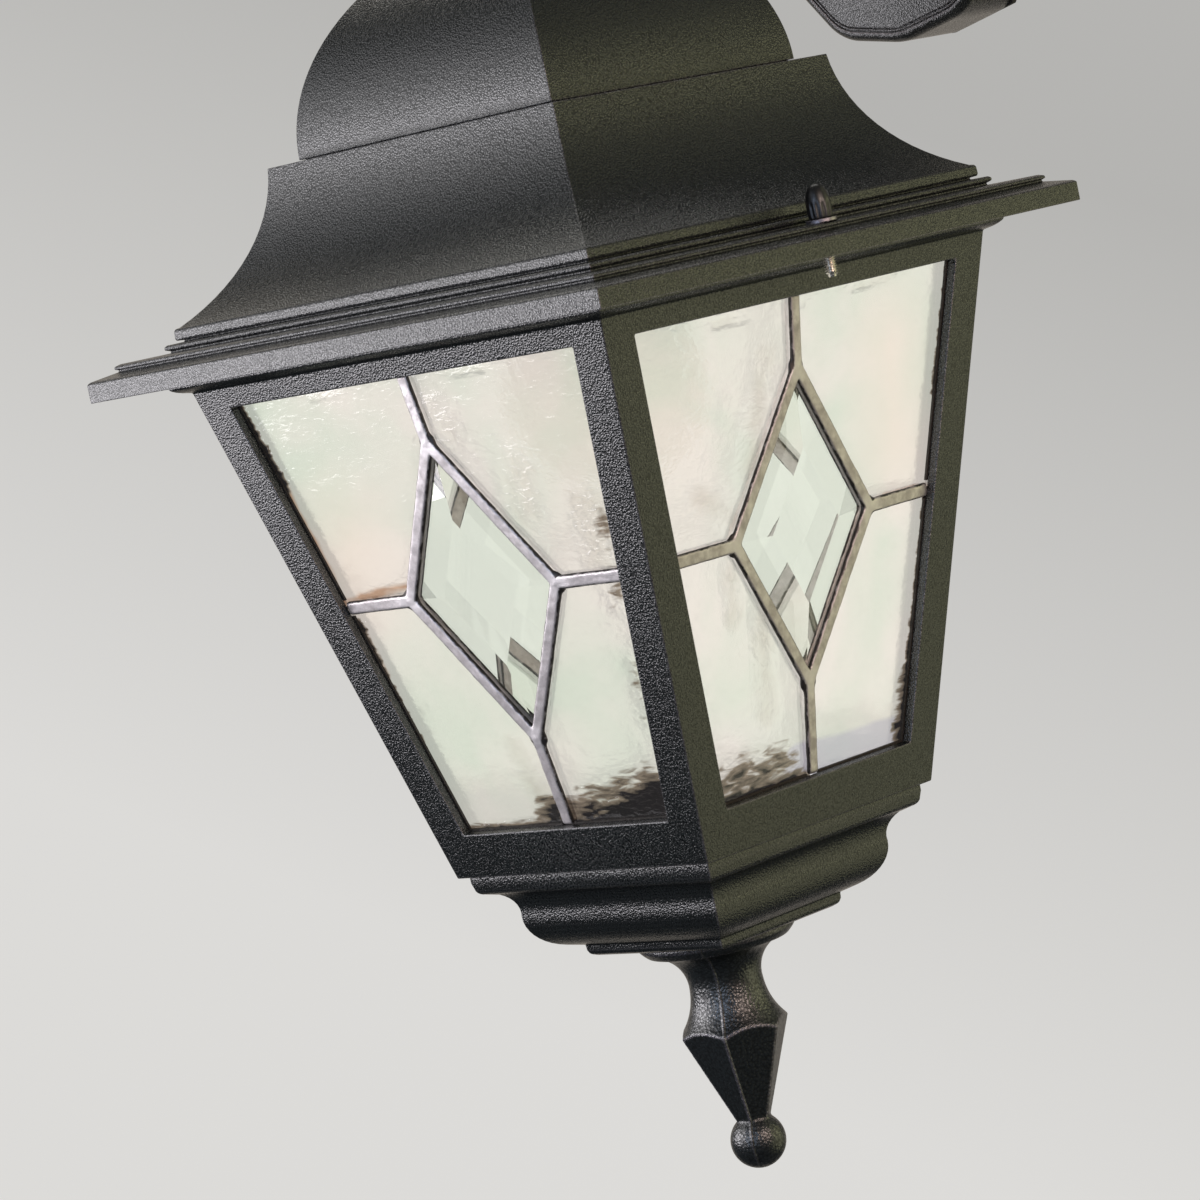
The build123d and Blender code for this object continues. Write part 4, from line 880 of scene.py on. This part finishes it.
hex_top_corner = HEX_FOOT_CORNER + HEX_SLOPE * (HEX_TOP - HEX_FOOT)
flat_share = math.cos(math.pi / 6)
spike = [(hex_top_corner * flat_share, HEX_TOP), (HEX_FOOT_CORNER * flat_share, HEX_FOOT)]
drop = stack("drop", spike, sides=6, closed=False)
apply_modifier(drop, "BOOLEAN", operation="INTERSECT", object=lathe, solver="EXACT")
bpy.data.objects.remove(lathe)
ball_place = spot(0, 0, BALL_FOOT + BALL_RADIUS)
ball = add_mesh("uv_sphere", radius=BALL_RADIUS * MM, segments=48, ring_count=24, location=ball_place)
finial = join([finial, drop, ball], "cast_finial")
apply_modifier(finial, "REMESH", mode="VOXEL", voxel_size=VOXEL * MM)
apply_modifier(finial, "SMOOTH", factor=0.5, iterations=3)
bpy.ops.object.shade_smooth()
seat(finial, "cage", ["finial"], "black_satin")

# %% [markdown]
# ## Lead and solder
# Each panel is held in cames, lead strips of H section. From outside one sees their upper leaf, 4.5 mm wide
# and rounded over, and where strips meet the solder has run into a flat blob. Leaf, heart and blobs are laid
# out flat, in the panel's own millimetres, melted together by a voxel remesh, roughened, and then set into
# the front of the cage.

# %% Lead lines
PANEL_LAP = 4.0
PANEL_FOOT_LAP = 9.4
DIAMOND_TOP = 28.6
DIAMOND_FOOT = 124.6
DIAMOND_MID = (DIAMOND_TOP + DIAMOND_FOOT) / 2
DIAMOND_HALF = 31.2
GLASS_OUT = 4.0
GLASS_IN = 7.0
LEAF = 4.5
HEART = 1.2
HEART_FRONT = 3.5
HEART_BACK = 7.5
tip, tail = Vector((0, -DIAMOND_TOP, 0)), Vector((0, -DIAMOND_FOOT, 0))
elbow_right, elbow_left = (Vector((side * DIAMOND_HALF, -DIAMOND_MID, 0)) for side in (1, -1))
edge_x = window_half(DIAMOND_MID)
rim_right, rim_left = (Vector((side * edge_x, -DIAMOND_MID, 0)) for side in (1, -1))
head_point, foot_point = Vector((0, -WINDOW_TOP, 0)), Vector((0, -WINDOW_FOOT, 0))
DIAMOND_SIDES = [(tip, elbow_right), (elbow_right, tail), (tail, elbow_left), (elbow_left, tip)]
JOINTS = (tip, tail, elbow_left, elbow_right)
TAILS = [(head_point, tip), (tail, foot_point), (elbow_right, rim_right), (elbow_left, rim_left)]


def bar(start, end, width, low, high):
    """Flat bar from one point of a panel to another, between two depths below the side's face."""
    run = end - start
    middle = (start + end) / 2 - Vector((0, 0, (low + high) / 2))
    turn = (0, 0, math.atan2(run.y, run.x))
    size = (run.length, width, high - low)
    return add_mesh("cube", "bar", size=1, location=middle, rotation=turn, scale=size)


print("diamond side", round((tip - elbow_right).length, 1), "mm")

# %% Leaves melted together
BLOB_SINK = 0.1
BLOB_FLATTENING = 0.02
random.seed(11)
strips = []
for start, end in DIAMOND_SIDES + TAILS:
    leaf = bar(start, end, LEAF, GLASS_OUT - 1.5, GLASS_OUT + 0.2)
    apply_modifier(leaf, "BEVEL", width=1.1, segments=4, limit_method="NONE")
    inner_leaf = bar(start, end, LEAF - 0.2, GLASS_IN - 0.2, GLASS_IN + 1.1)
    strips += [leaf, inner_leaf, bar(start, end, HEART, HEART_FRONT, HEART_BACK)]
for place in JOINTS:
    stretch = (random.uniform(3.1, 3.8), random.uniform(3.3, 4.2), 1.7)
    low_place = place - Vector((0, 0, GLASS_OUT + BLOB_SINK))
    blob = add_mesh("uv_sphere", radius=1.0, segments=32, ring_count=16, location=low_place, scale=stretch)
    strips.append(blob)
    edit(blob)
    pick(blob, lambda vert: vert.co.z < -GLASS_OUT - BLOB_SINK, kind="verts")
    bpy.ops.transform.resize(value=(1, 1, BLOB_FLATTENING), center_override=low_place)
    leave()
lead = join(strips, "lead_net")
apply_modifier(lead, "REMESH", mode="VOXEL", voxel_size=0.42)
apply_modifier(lead, "SMOOTH", factor=0.5, iterations=4)
dents = bpy.data.textures.new("dents", "CLOUDS")
dents.noise_scale = 5.0
apply_modifier(lead, "DISPLACE", texture=dents, strength=0.26, mid_level=0.5)
bpy.ops.object.shade_smooth()
print("lead net", len(lead.data.polygons), "faces")

# %% Edge cames
SOLDER_REACH = 6.0
SOLDER_STRENGTH = 2.4
corner_ring = window_corners(PANEL_LAP - 1.0, foot_lap=PANEL_FOOT_LAP - 1.0)
edges = [bar(start, end, 1.9, 3.25, 7.75) for start, end in round_trip(corner_ring)]
lead = join([lead, *edges], "lead_net")


def near_line(points, start, end, reach):
    """How near each point is to a line, from 1 on it to 0 at its reach."""
    a, b = np.array(start), np.array(end)
    along = np.clip((points - a) @ (b - a) / max((b - a) @ (b - a), 1e-6), 0, 1)[:, None]
    away = np.linalg.norm(points - a - along * (b - a), axis=1)
    return np.clip(1 - away / reach, 0, 1)


def write_marks(piece, label, value):
    """Keeps a value for each point of a piece under a name."""
    piece.data.attributes.new(label, "FLOAT", "POINT").data.foreach_set("value", value)


flat = np.array([vertex.co.xy for vertex in lead.data.vertices])
lines = [(start.xy, end.xy) for start, end in DIAMOND_SIDES + TAILS]
nearness = np.max([near_line(flat, joint.xy, joint.xy, SOLDER_REACH) for joint in JOINTS], axis=0)
solder = nearness * SOLDER_STRENGTH
write_marks(lead, "solder", np.clip(solder, 0, 1))
write_marks(lead, "border", 1 - np.max([near_line(flat, *line, LEAF / 2) for line in lines], axis=0))
print("solder marked on", np.count_nonzero(solder > 0.5), "points")


# %% A copy in each side
def set_in_sides(piece, name, nodes, finish, change=None):
    """Copies a flat panel piece into all four sides of the cage, each copy with a mesh of its own."""
    for side, angle in SIDES.items():
        only(piece)
        bpy.ops.object.duplicate()
        copy = bpy.context.object
        copy.name = f"{name}_{side}"
        copy.matrix_world = side_frame(angle)
        bpy.ops.object.transform_apply()
        if change:
            change(copy, side)
        seat(copy, "cage", [f"{nodes}_{side}"], finish)
    bpy.data.objects.remove(piece)


set_in_sides(lead, "lead_came", "lead", "came_lead")

# %% [markdown]
# ## Textured panes
# Four panes of textured glass surround each diamond. A fine grid is cut to each pane's outline with five
# planes, given its thickness, and swelled a little by a soft noise, because drawn glass is never flat.

# %% Pane outlines
frame_corners = window_corners(PANEL_LAP - 0.8, foot_lap=PANEL_FOOT_LAP - 0.8)
top_left, top_right, foot_right, foot_left = frame_corners
at_elbow = (DIAMOND_MID + top_left.y) / (top_left.y - foot_left.y)
mid_left = top_left.lerp(foot_left, at_elbow)
top_mid, foot_mid = (top_left + top_right) / 2, (foot_left + foot_right) / 2
LEFT_PANES = [
    [top_left, mid_left, elbow_left, tip, top_mid],
    [mid_left, foot_left, foot_mid, tail, elbow_left],
]
RIGHT_PANES = [[Vector((-p.x, p.y, 0)) for p in reversed(outline)] for outline in LEFT_PANES]
HEART_GAP = 0.6
GRID_CELLS = 110
GRID_SIZE = 172


def cut_pane(outline):
    """Fine grid trimmed to a pane's outline, a little short of the lead's heart."""
    cells = {"x_subdivisions": GRID_CELLS, "y_subdivisions": GRID_CELLS}
    pane = add_mesh("grid", size=GRID_SIZE, location=(0, -80, -GLASS_OUT), **cells)
    edit(pane)
    for start, end in round_trip(outline):
        outward = Vector((end.y - start.y, start.x - end.x, 0)).normalized()
        take_all()
        bpy.ops.mesh.bisect(plane_co=start - outward * HEART_GAP, plane_no=outward, clear_outer=True)
    leave()
    return pane


panes = join([cut_pane(outline) for outline in LEFT_PANES + RIGHT_PANES], "panes")
print("panes", len(panes.data.polygons), "faces")

# %% Thickness and swell
apply_modifier(panes, "SOLIDIFY", thickness=GLASS_IN - GLASS_OUT, offset=-1.0)
swell = bpy.data.textures.new("swell", "CLOUDS")
swell.noise_scale = 16.0
apply_modifier(panes, "DISPLACE", texture=swell, strength=0.5, mid_level=0.5, direction="Z")
smooth(40)
print("panes", GLASS_IN - GLASS_OUT, "mm thick")

# %% [markdown]
# ## Marks on each pane
# The panes aren't clean, and they aren't evenly lit. Along some edges the putty has stained them amber. By
# the lead and by the foot they are so near to something dark that they would look black, and there they get
# painted shade, brown to black. Smudges are soft brown painted shade where dark parts would show blurred
# through the ripples, with a few putty specks along the top edges. Warm patches are painted lamp light, and
# at the foot of some panes the glass has a lilac tint. Each pane point gets five values for this: stain,
# shade, smudge, and how warm or lilac the glass looks. They are laid on as soft lines in the panel's own
# millimetres, each with its start, its end, its reach and its strength, and only on the outer face.

# %% Marks on the panes
MARKS = {
    "front": {
        "stain": [
            ((-69, -30), (-61.5, -74.5), 3.0, 1.5), ((-62, -74.8), (-31, -72), 2.4, 1.2),
            ((-58, -84), (-55, -100), 2.6, 1),
        ],
        "shade": [
            ((-74, -9), (-67.5, -36), 2.6, 1.7), ((-58.5, -82), (-47, -152), 2.6, 1.5),
            ((-46, -155), (0, -154.5), 4.0, 1.6), ((-10, -158), (-5, -149), 9.0, 1.1),
            ((0, -152), (40, -145), 12.0, 0.85), ((16, -160), (46, -150), 11.0, 5.0),
            ((50, -86), (57, -76), 6.0, 0.38), ((58, -60), (56, -72), 7.0, 0.38),
            ((49, -106), (46, -122), 5.0, 0.34),
        ],
        # Smudges: soft brown painted shade where dark parts would show blurred through the ripples, and thin
        # putty specks along the top edges.
        "smudge_and_shade": [
            ((33, -40), (29, -54), 9.0, 0.7), ((54, -55), (50, -72), 10.0, 0.7),
            ((8, -18), (11, -26), 6.0, 0.6),
            ((-13, -126), (-9, -142), 8.0, 0.7), ((-42, -9), (-30, -9), 2.0, 0.5),
            ((20, -9), (32, -9), 2.0, 0.5),
        ],
        # Painted warm lamp light.
        "warm": [((-48, -56), (-56, -66), 30.0, 1.0)],
    },
    "right": {
        "stain": [
            ((70, -34), (63, -70), 2.6, 1.6), ((60, -76), (40, -75), 2.0, 1.0),
            ((52.5, -122), (49, -138), 2.4, 1.2),
        ],
        "shade": [
            ((75, -10), (66, -48), 2.4, 1.7), ((61, -78), (44, -152), 2.8, 1.6),
            ((47, -134), (42, -152), 5.0, 0.8),
            ((42, -156), (18, -156), 3.6, 1.0), ((-40, -154), (-4, -155), 5.0, 1.5),
            ((-40, -149), (-13, -148), 10.0, 0.75), ((-37, -153), (-31, -146), 8.0, 0.9),
        ],
        "smudge_and_shade": [
            ((-13, -23), (-22, -55), 8.0, 0.8), ((-45, -60), (-28, -70), 7.0, 0.8),
            ((-20, -100), (-18.5, -130), 7.0, 0.8), ((-33, -84), (-32, -98), 6.0, 0.8),
            ((-36, -10.5), (-21, -10.5), 2.0, 0.6), ((-2, -10.5), (4, -10.5), 2.0, 0.5),
            ((28, -9.5), (48, -8.5), 2.0, 0.6),
        ],
        # Painted warm lamp light.
        "warm": [((45, -30), (46, -60), 26.0, 1.0)],
        "lilac": [((-6, -149), (40, -152), 9.0, 1.4)],
    },
}
MARKS["left"], MARKS["back"] = MARKS["front"], MARKS["right"]


def mark_panes(piece, side):
    """Writes each mark as an attribute, read off the points' places in the panel."""
    count = len(piece.data.vertices)
    places = np.empty(count * 3)
    piece.data.vertices.foreach_get("co", places)
    to_panel = np.array(side_frame(SIDES[side]).inverted())
    local = places.reshape(-1, 3) @ to_panel[:3, :3].T + to_panel[:3, 3]
    flat, outer_face = local[:, :2], local[:, 2] > -(GLASS_OUT + GLASS_IN) / 2
    for label in MARK_NAMES:
        value = np.zeros(count)
        for start, end, reach, strength in MARKS[side].get(label, []):
            value = np.maximum(value, near_line(flat, start, end, reach) * strength)
        write_marks(piece, label, value * outer_face)


set_in_sides(panes, "pane", "glass", "water_glass", mark_panes)

# %% [markdown]
# ## Thumb screws
# A knurled thumb screw goes down through each side of the rim into an ear of the cage, and its bright end
# comes out below. The head is a stack of rings in which every fourth corner is drawn in, which makes the
# flutes. The thread is a small tooth carried round and up by the Screw modifier, wound on a plain core with a
# chamfered end.

# %% Thumb screw head
THUMB_X = {"right": 99.5, "left": -99.5}
FLUTES = 12
FLUTE_SHARE = 0.83
head_profile = [(0.4, 21.5), (1.3, 21.3), (2.3, 20.6), (3.0, 19.4), (3.5, 17.6), (3.7, 16.1)]
head_profile += [(3.7, 15.6), (3.7, 11.5), (3.4, 11.1), (0.4, 11.1)]


def make_head(name, x):
    """Fluted domed head, as a stack with every fourth corner of its middle rings drawn in."""
    head = stack(name, head_profile, sides=FLUTES * 4, closed=False, centre=(x, 0.0))
    middle = spot(x, 0, 0)

    def in_flute(vert):
        """Every fourth corner of the rings between the dome and the foot."""
        place = vert.co - middle
        step = round(math.atan2(place.y, place.x) / (2 * math.pi) * FLUTES * 4 - 0.5)
        return step % 4 == 0 and 11.0 < (place.z / MM) < 15.8

    edit(head)
    pick(head, in_flute, kind="verts")
    bpy.ops.transform.resize(value=(FLUTE_SHARE, FLUTE_SHARE, 1), center_override=middle)
    leave()
    apply_modifier(head, "SUBSURF", levels=1, render_levels=1)
    smooth(50)
    return head


for side, x in THUMB_X.items():
    head = make_head(f"thumb_screw_head_{side}", x)
    seat(head, f"thumb_{side}", [f"thumb_head_{side}"], "black_knob")

# %% Thumb screw thread
PITCH = 0.7
CORE = 1.38
THREAD_LOW = -6.1
THREAD_HIGH = 16.1
STEPS_A_TURN = 28
TOOTH_DEPTH = 0.6
TOOTH_WIDTH = 0.62
TOOTH_RADIUS = 1.65
CREST_SHARE = 0.12
turns = int((THREAD_HIGH - THREAD_LOW - 1.5) / PITCH)
core_profile = [(0.3, THREAD_LOW), (1.1, THREAD_LOW), (CORE, THREAD_LOW + 0.5)]
core_profile += [(CORE, THREAD_HIGH), (0.3, THREAD_HIGH)]
winding = {"axis": "Z", "angle": 2 * math.pi, "screw_offset": PITCH * MM, "iterations": turns}
winding |= {"steps": STEPS_A_TURN, "render_steps": STEPS_A_TURN, "use_merge_vertices": False}


def make_thread(name, x):
    """Helical tooth on a plain core."""
    core = stack(name, core_profile, sides=32, closed=False, centre=(x, 0.0))
    tooth = add_mesh("plane", size=1, rotation=(math.radians(90), 0, 0))
    edit(tooth)
    pick(tooth, lambda vert: vert.co.x > 0, kind="verts")
    bpy.ops.transform.resize(value=(1, 1, CREST_SHARE), center_override=(0, 0, 0))
    take_all()
    bpy.ops.transform.resize(value=(TOOTH_DEPTH * MM, 1, TOOTH_WIDTH * MM), center_override=(0, 0, 0))
    bpy.ops.transform.translate(value=(TOOTH_RADIUS * MM, 0, 0))
    leave()
    apply_modifier(tooth, "SCREW", **winding)
    tooth.location = spot(x, 0, THREAD_LOW + 0.9)
    bpy.ops.object.transform_apply()
    thread = join([core, tooth], name)
    edit(thread)
    face_out()
    smooth(35)
    return thread


for side, x in THUMB_X.items():
    thread = make_thread(f"thumb_screw_thread_{side}", x)
    seat(thread, f"thumb_{side}", [f"thumb_thread_{side}"], "zinc_steel")

# %% [markdown]
# ## Wall plate
# The plate is a hollow casting with pointed ends. Its outline is drawn once, with its corners rounded, and
# drawn forward into a wall. The front is then inset again and again, each time a little in and a little up or
# down, which turns the moulding: a quarter round, a groove, a bead, a second groove, and the flat panel.

# %% Outline of the plate
GASKET = 2.0
PLATE_DEPTH = 25.8
PLATE_RIDGE = 2.5
PLATE_WALL = 2.6
PLATE_HALF = 52
half_outline = [((27.5, -82.7), 20), ((PLATE_HALF, -52), 12), ((PLATE_HALF, 52), 12), ((27.5, 82.7), 20)]
other_half = [((-x, -y), radius) for (x, y), radius in half_outline]
PLATE_CORNERS = [((0, -88), 26), *half_outline, ((0, 88), 26), *other_half]


def round_corners(corners, steps):
    """Outline through corners that each have a radius, as points along its arcs."""
    points = []
    for index, (corner, radius) in enumerate(corners):
        here = Vector(corner)
        before = (Vector(corners[index - 1][0]) - here).normalized()
        after = (Vector(corners[(index + 1) % len(corners)][0]) - here).normalized()
        half_angle = before.angle(after) / 2
        reach = radius / math.tan(half_angle)
        inward = (before + after).normalized()
        middle = here + inward * (radius / math.sin(half_angle) - radius)
        start, end = here + before * reach, here + after * reach
        points += [tuple(start), *arc(start, middle, end, steps)]
    return points


plate_outline = round_corners(PLATE_CORNERS, 8)
print("plate outline", len(plate_outline), "points")

# %% Plate, inset into its moulding
BORDER = 3.3
turned = (math.radians(90), 0, 0)
plate = add_mesh("circle", vertices=len(plate_outline), fill_type="NGON", rotation=turned)
for vertex, (x, z) in zip(plate.data.vertices, plate_outline):
    vertex.co = (x * MM, -GASKET * MM, z * MM)
plate.data.update()
faces_wall = plate.data.polygons[0].normal.y > 0
edit(plate)
take_all()
if faces_wall:
    bpy.ops.mesh.flip_normals()
bpy.ops.mesh.extrude_region_move(TRANSFORM_OT_translate={"value": (0, -(PLATE_DEPTH - BORDER) * MM, 0)})
pick(plate, lambda face: max(-vert.co.y for vert in face.verts) < (GASKET + 0.1) * MM)
bpy.ops.mesh.delete(type="ONLY_FACE")
pick(plate, lambda face: min(-vert.co.y for vert in face.verts) > (GASKET + 0.1) * MM)
quarter = np.radians([0, 15, 30, 45, 60, 75, 90])
round_steps = [(BORDER * (1 - math.cos(angle)), BORDER * math.sin(angle)) for angle in quarter]
moulding = [(b[0] - a[0], b[1] - a[1]) for a, b in zip(round_steps, round_steps[1:])]
groove_and_bead = [(0.1, -0.8), (0.35, 0.0), (0.1, 0.6), (0.2, 0.15), (0.35, 0.0)]
moulding += groove_and_bead + [(0.2, -0.15), (0.1, -0.6), (0.35, 0.0), (0.1, 0.8)]
for inward, forward in moulding:
    bpy.ops.mesh.inset(thickness=inward * MM, depth=forward * MM, use_even_offset=True)
bpy.ops.mesh.bisect(plane_co=(0, 0, 0), plane_no=(1, 0, 0))
leave()
plate_side = -(GASKET + PLATE_DEPTH - BORDER - 0.1) * MM
for vertex in plate.data.vertices:
    if vertex.co.y < plate_side:
        vertex.co.y -= PLATE_RIDGE * MM * (1 - abs(vertex.co.x) / (PLATE_HALF * MM))
apply_modifier(plate, "SOLIDIFY", thickness=PLATE_WALL * MM, offset=-1.0)
print("plate front", round(min(v.co.y for v in plate.data.vertices), 4))

# %% Pads on the plate, and its wire hole
STUD_HEIGHT = 62.0
WIRE_HOLE = 6
pads = [plate]
EIGHT_TURN = math.pi / 8
for sides, turn, height, radius in (
    (8, EIGHT_TURN, 0.0, 25.0 / math.cos(EIGHT_TURN)), (32, 0, STUD_HEIGHT, 6.5), (32, 0, -STUD_HEIGHT, 6.5)
):
    place = (0, -(GASKET + PLATE_DEPTH) * MM, height * MM)
    size = {"radius": radius * MM, "depth": 2 * PLATE_RIDGE * MM}
    pad = add_mesh("cylinder", vertices=sides, location=place, rotation=(math.radians(90), turn, 0), **size)
    pads.append(soften(pad, 0.4))
plate = join(pads, "cast_wall_plate")
wire_hole = add_mesh("cylinder", vertices=32, radius=WIRE_HOLE * MM, depth=0.09, rotation=turned)
apply_modifier(plate, "BOOLEAN", operation="DIFFERENCE", object=wire_hole, solver="EXACT", use_self=True)
bpy.data.objects.remove(wire_hole)
only(plate)
smooth(38)
apply_modifier(plate, "WEIGHTED_NORMAL", keep_sharp=True)
seat(plate, "fixture", ["wall_plate"], "black_coat")

# %% [markdown]
# ## Arm and small nuts
# These have plain shapes that the CAD model already gives exactly, but its edges are knife sharp, and a
# coated casting has none. A copy of each is merged back from loose triangles, its flat faces are cleaned, and
# its arrises are rounded. The CAD node itself is left alone, and the copy stands for it.

# %% Softened copies
def soft_copy(node, name, rounding, finish):
    """Copy of a CAD casting with clean faces and rounded arrises."""
    only(frame["nodes"][node])
    bpy.ops.object.duplicate()
    copy = bpy.context.object
    copy.name = name
    for key in list(copy.keys()):
        del copy[key]
    edit(copy)
    take_all()
    bpy.ops.mesh.remove_doubles(threshold=0.00001)
    bpy.ops.mesh.dissolve_limited(angle_limit=math.radians(1.0))
    leave()
    seat(soften(copy, rounding), "fixture", [node], finish)


soft_copy("arm", "cast_arm", 0.7, "black_coat")
soft_copy("cap_nuts", "domed_cap_nuts", 0.3, "black_knob")

# %% [markdown]
# ## Floor, backdrop and light
# The floor sweeps up into a backdrop, which the camera sees as a pale grey that darkens towards the top
# right. The backdrop's own glow is only seen directly, in reflections and through glass, so it adds no light
# to the object, and from behind it is open. Reflections see it dark beside the object and pale behind it.
# Three long windows at the left give the castings their bands of light, a cool and a warm spot stand either
# side of the camera, three yellow fills stand at the right, and one window behind lifts the far edges.

# %% Floor and backdrop
FLOOR_Z = -0.95
SWEEP_FRONT = 1.6
SWEEP_BACK = 1.5
SWEEP_RADIUS = 1.6
SWEEP_HEIGHT = 2.5
SWEEP_WIDTH = 5.0
view_turn = Matrix.Rotation(math.radians(CAMERA_AZIMUTH), 4, "Z")
backdrop = add_mesh("plane", "backdrop", size=2.0)
backdrop.data.transform(Matrix.Diagonal((SWEEP_WIDTH, (SWEEP_FRONT + SWEEP_BACK) / 2, 1.0, 1.0)))
backdrop.data.transform(Matrix.Translation((0, (SWEEP_BACK - SWEEP_FRONT) / 2, FLOOR_Z)))
edit(backdrop)
pick(backdrop, lambda edge: min(vert.co.y for vert in edge.verts) > SWEEP_BACK - 0.01, kind="edges")
bend_centre = (0, SWEEP_BACK, FLOOR_Z + SWEEP_RADIUS)
bpy.ops.mesh.spin(steps=24, angle=math.radians(-90), center=bend_centre, axis=(1, 0, 0))
bpy.ops.mesh.extrude_region_move(TRANSFORM_OT_translate={"value": (0, 0, SWEEP_HEIGHT)})
face_out()
if max(backdrop.data.polygons, key=lambda face: face.area).normal.z < 0:
    backdrop.data.flip_normals()
backdrop.data.transform(Matrix.Translation((AXIS_X, AXIS_Y, 0)) @ view_turn)
bpy.ops.object.shade_smooth()
print("backdrop", [round(size, 2) for size in backdrop.dimensions])

# %% Backdrop finish
PALE = (0.82, 0.81, 0.79)
DEEP = (0.53, 0.525, 0.51)
MIRRORED_BESIDE = (0.05, 0.055, 0.06)
MIRRORED_BEHIND = (0.54, 0.49, 0.43)
THROUGH_GLASS = (0.95, 0.95, 0.92)
tree, shader, place = start_material("backdrop_paper", Roughness=0.8, Specular_IOR_Level=0.1)


def beyond_aim(direction):
    """How far a point of the paper lies beyond the middle of the picture, in a direction."""
    return minus(tree, reach_along(tree, place, direction), AIM.dot(direction))


bright_side = (-0.35 * right - 1.0 * up).normalized()
across_view = Vector((math.cos(math.radians(CAMERA_AZIMUTH)), math.sin(math.radians(CAMERA_AZIMUTH)), 0))
paper = blend_colours(tree, remap(tree, beyond_aim(bright_side), -0.5, 0.36), DEEP, PALE)
feed(shader, Base_Color=paper)
path = add_node(tree, "LightPath").outputs
camera_ray, mirror_ray, glass_ray = (path[f"Is {kind} Ray"] for kind in ("Camera", "Glossy", "Transmission"))
beside = math_node(tree, "ABSOLUTE", beyond_aim(across_view))
behind = remap(tree, minus(tree, beyond_aim(-back), beside), 0.3, 0.9)
lit = blend_colours(tree, mirror_ray, paper, blend_colours(tree, behind, MIRRORED_BESIDE, MIRRORED_BEHIND))
lit = blend_colours(tree, glass_ray, lit, THROUGH_GLASS)
glow = add_node(tree, "Emission", {"Color": lit, "Strength": 1.0}).outputs[0]
seen = math_node(tree, "MAXIMUM", camera_ray, math_node(tree, "MAXIMUM", mirror_ray, glass_ray))
only_glow = plus(tree, times(tree, camera_ray, -0.15), seen)
open_back = add_node(tree, "BsdfTransparent").outputs[0]
from_behind = add_node(tree, "NewGeometry").outputs["Backfacing"]
show(tree, mix_shaders(tree, from_behind, mix_shaders(tree, only_glow, shader.outputs[0], glow), open_back))
backdrop.data.materials.append(MATERIALS["backdrop_paper"])

# %% Lights
WINDOWS = [
    ("window_left", -45, -2, 0.75, 0.7, 0.18, 2.8, (0.98, 0.95, 1.0)),
    ("window_middle", -45, 11, 0.75, 0.7, 0.2, 1.25, (1.0, 0.98, 1.0)),
    ("window_high", -45, 28, 0.75, 0.75, 0.4, 1.0, (1.0, 0.98, 1.0)),
    ("spot_left", 15, 10, 0.9, 0.5, 0.5, 2.0, (0.62, 0.75, 1.0)),
    ("spot_right", 78, 12, 0.9, 0.4, 0.4, 3.2, (1.0, 0.78, 0.68)),
    ("fill_right", 136, 5, 1.2, 0.9, 0.35, 1.3, (1.0, 0.98, 0.55)),
    ("fill_low", 136, -24, 0.9, 0.9, 0.7, 1.2, (1.0, 0.98, 0.6)),
    ("fill_high", 136, 32, 1.2, 0.9, 0.4, 0.42, (1.0, 0.98, 0.62)),
    ("window_back", 225, 60, 1.2, 0.9, 0.6, 3.8, (1.0, 0.98, 0.92)),
]
for name, azimuth, elevation, distance, width, height, power, colour in WINDOWS:
    towards = camera_axes(azimuth, elevation, 0)[2]
    bpy.ops.object.light_add(type="AREA", location=AIM + towards * distance)
    lamp = bpy.context.object
    lamp.name = name
    lamp.rotation_euler = towards.to_track_quat("Z", "Y").to_euler()
    lamp.data.shape = "RECTANGLE"
    lamp.data.size, lamp.data.size_y = width, height
    lamp.data.energy, lamp.data.color = power, colour
    lamp.visible_camera = lamp.visible_transmission = False
    print("light", name, power, "W")

# %% Sky
SKY = (0.95, 1.0, 0.97)
world = bpy.context.scene.world = bpy.data.worlds.new("studio")
world.use_nodes = True
tree = world.node_tree
tree.nodes.clear()
sky = add_node(tree, "Background", {"Color": SKY, "Strength": 0.1}).outputs[0]
pale = add_node(tree, "Background", {"Color": grey(0.6), "Strength": 1.0}).outputs[0]
only_seen = mix_shaders(tree, add_node(tree, "LightPath").outputs["Is Camera Ray"], sky, pale)
add_node(tree, "OutputWorld", {"Surface": only_seen})
bpy.context.scene.view_settings.view_transform = "Standard"
print("a weak sky, pale where the camera sees it")
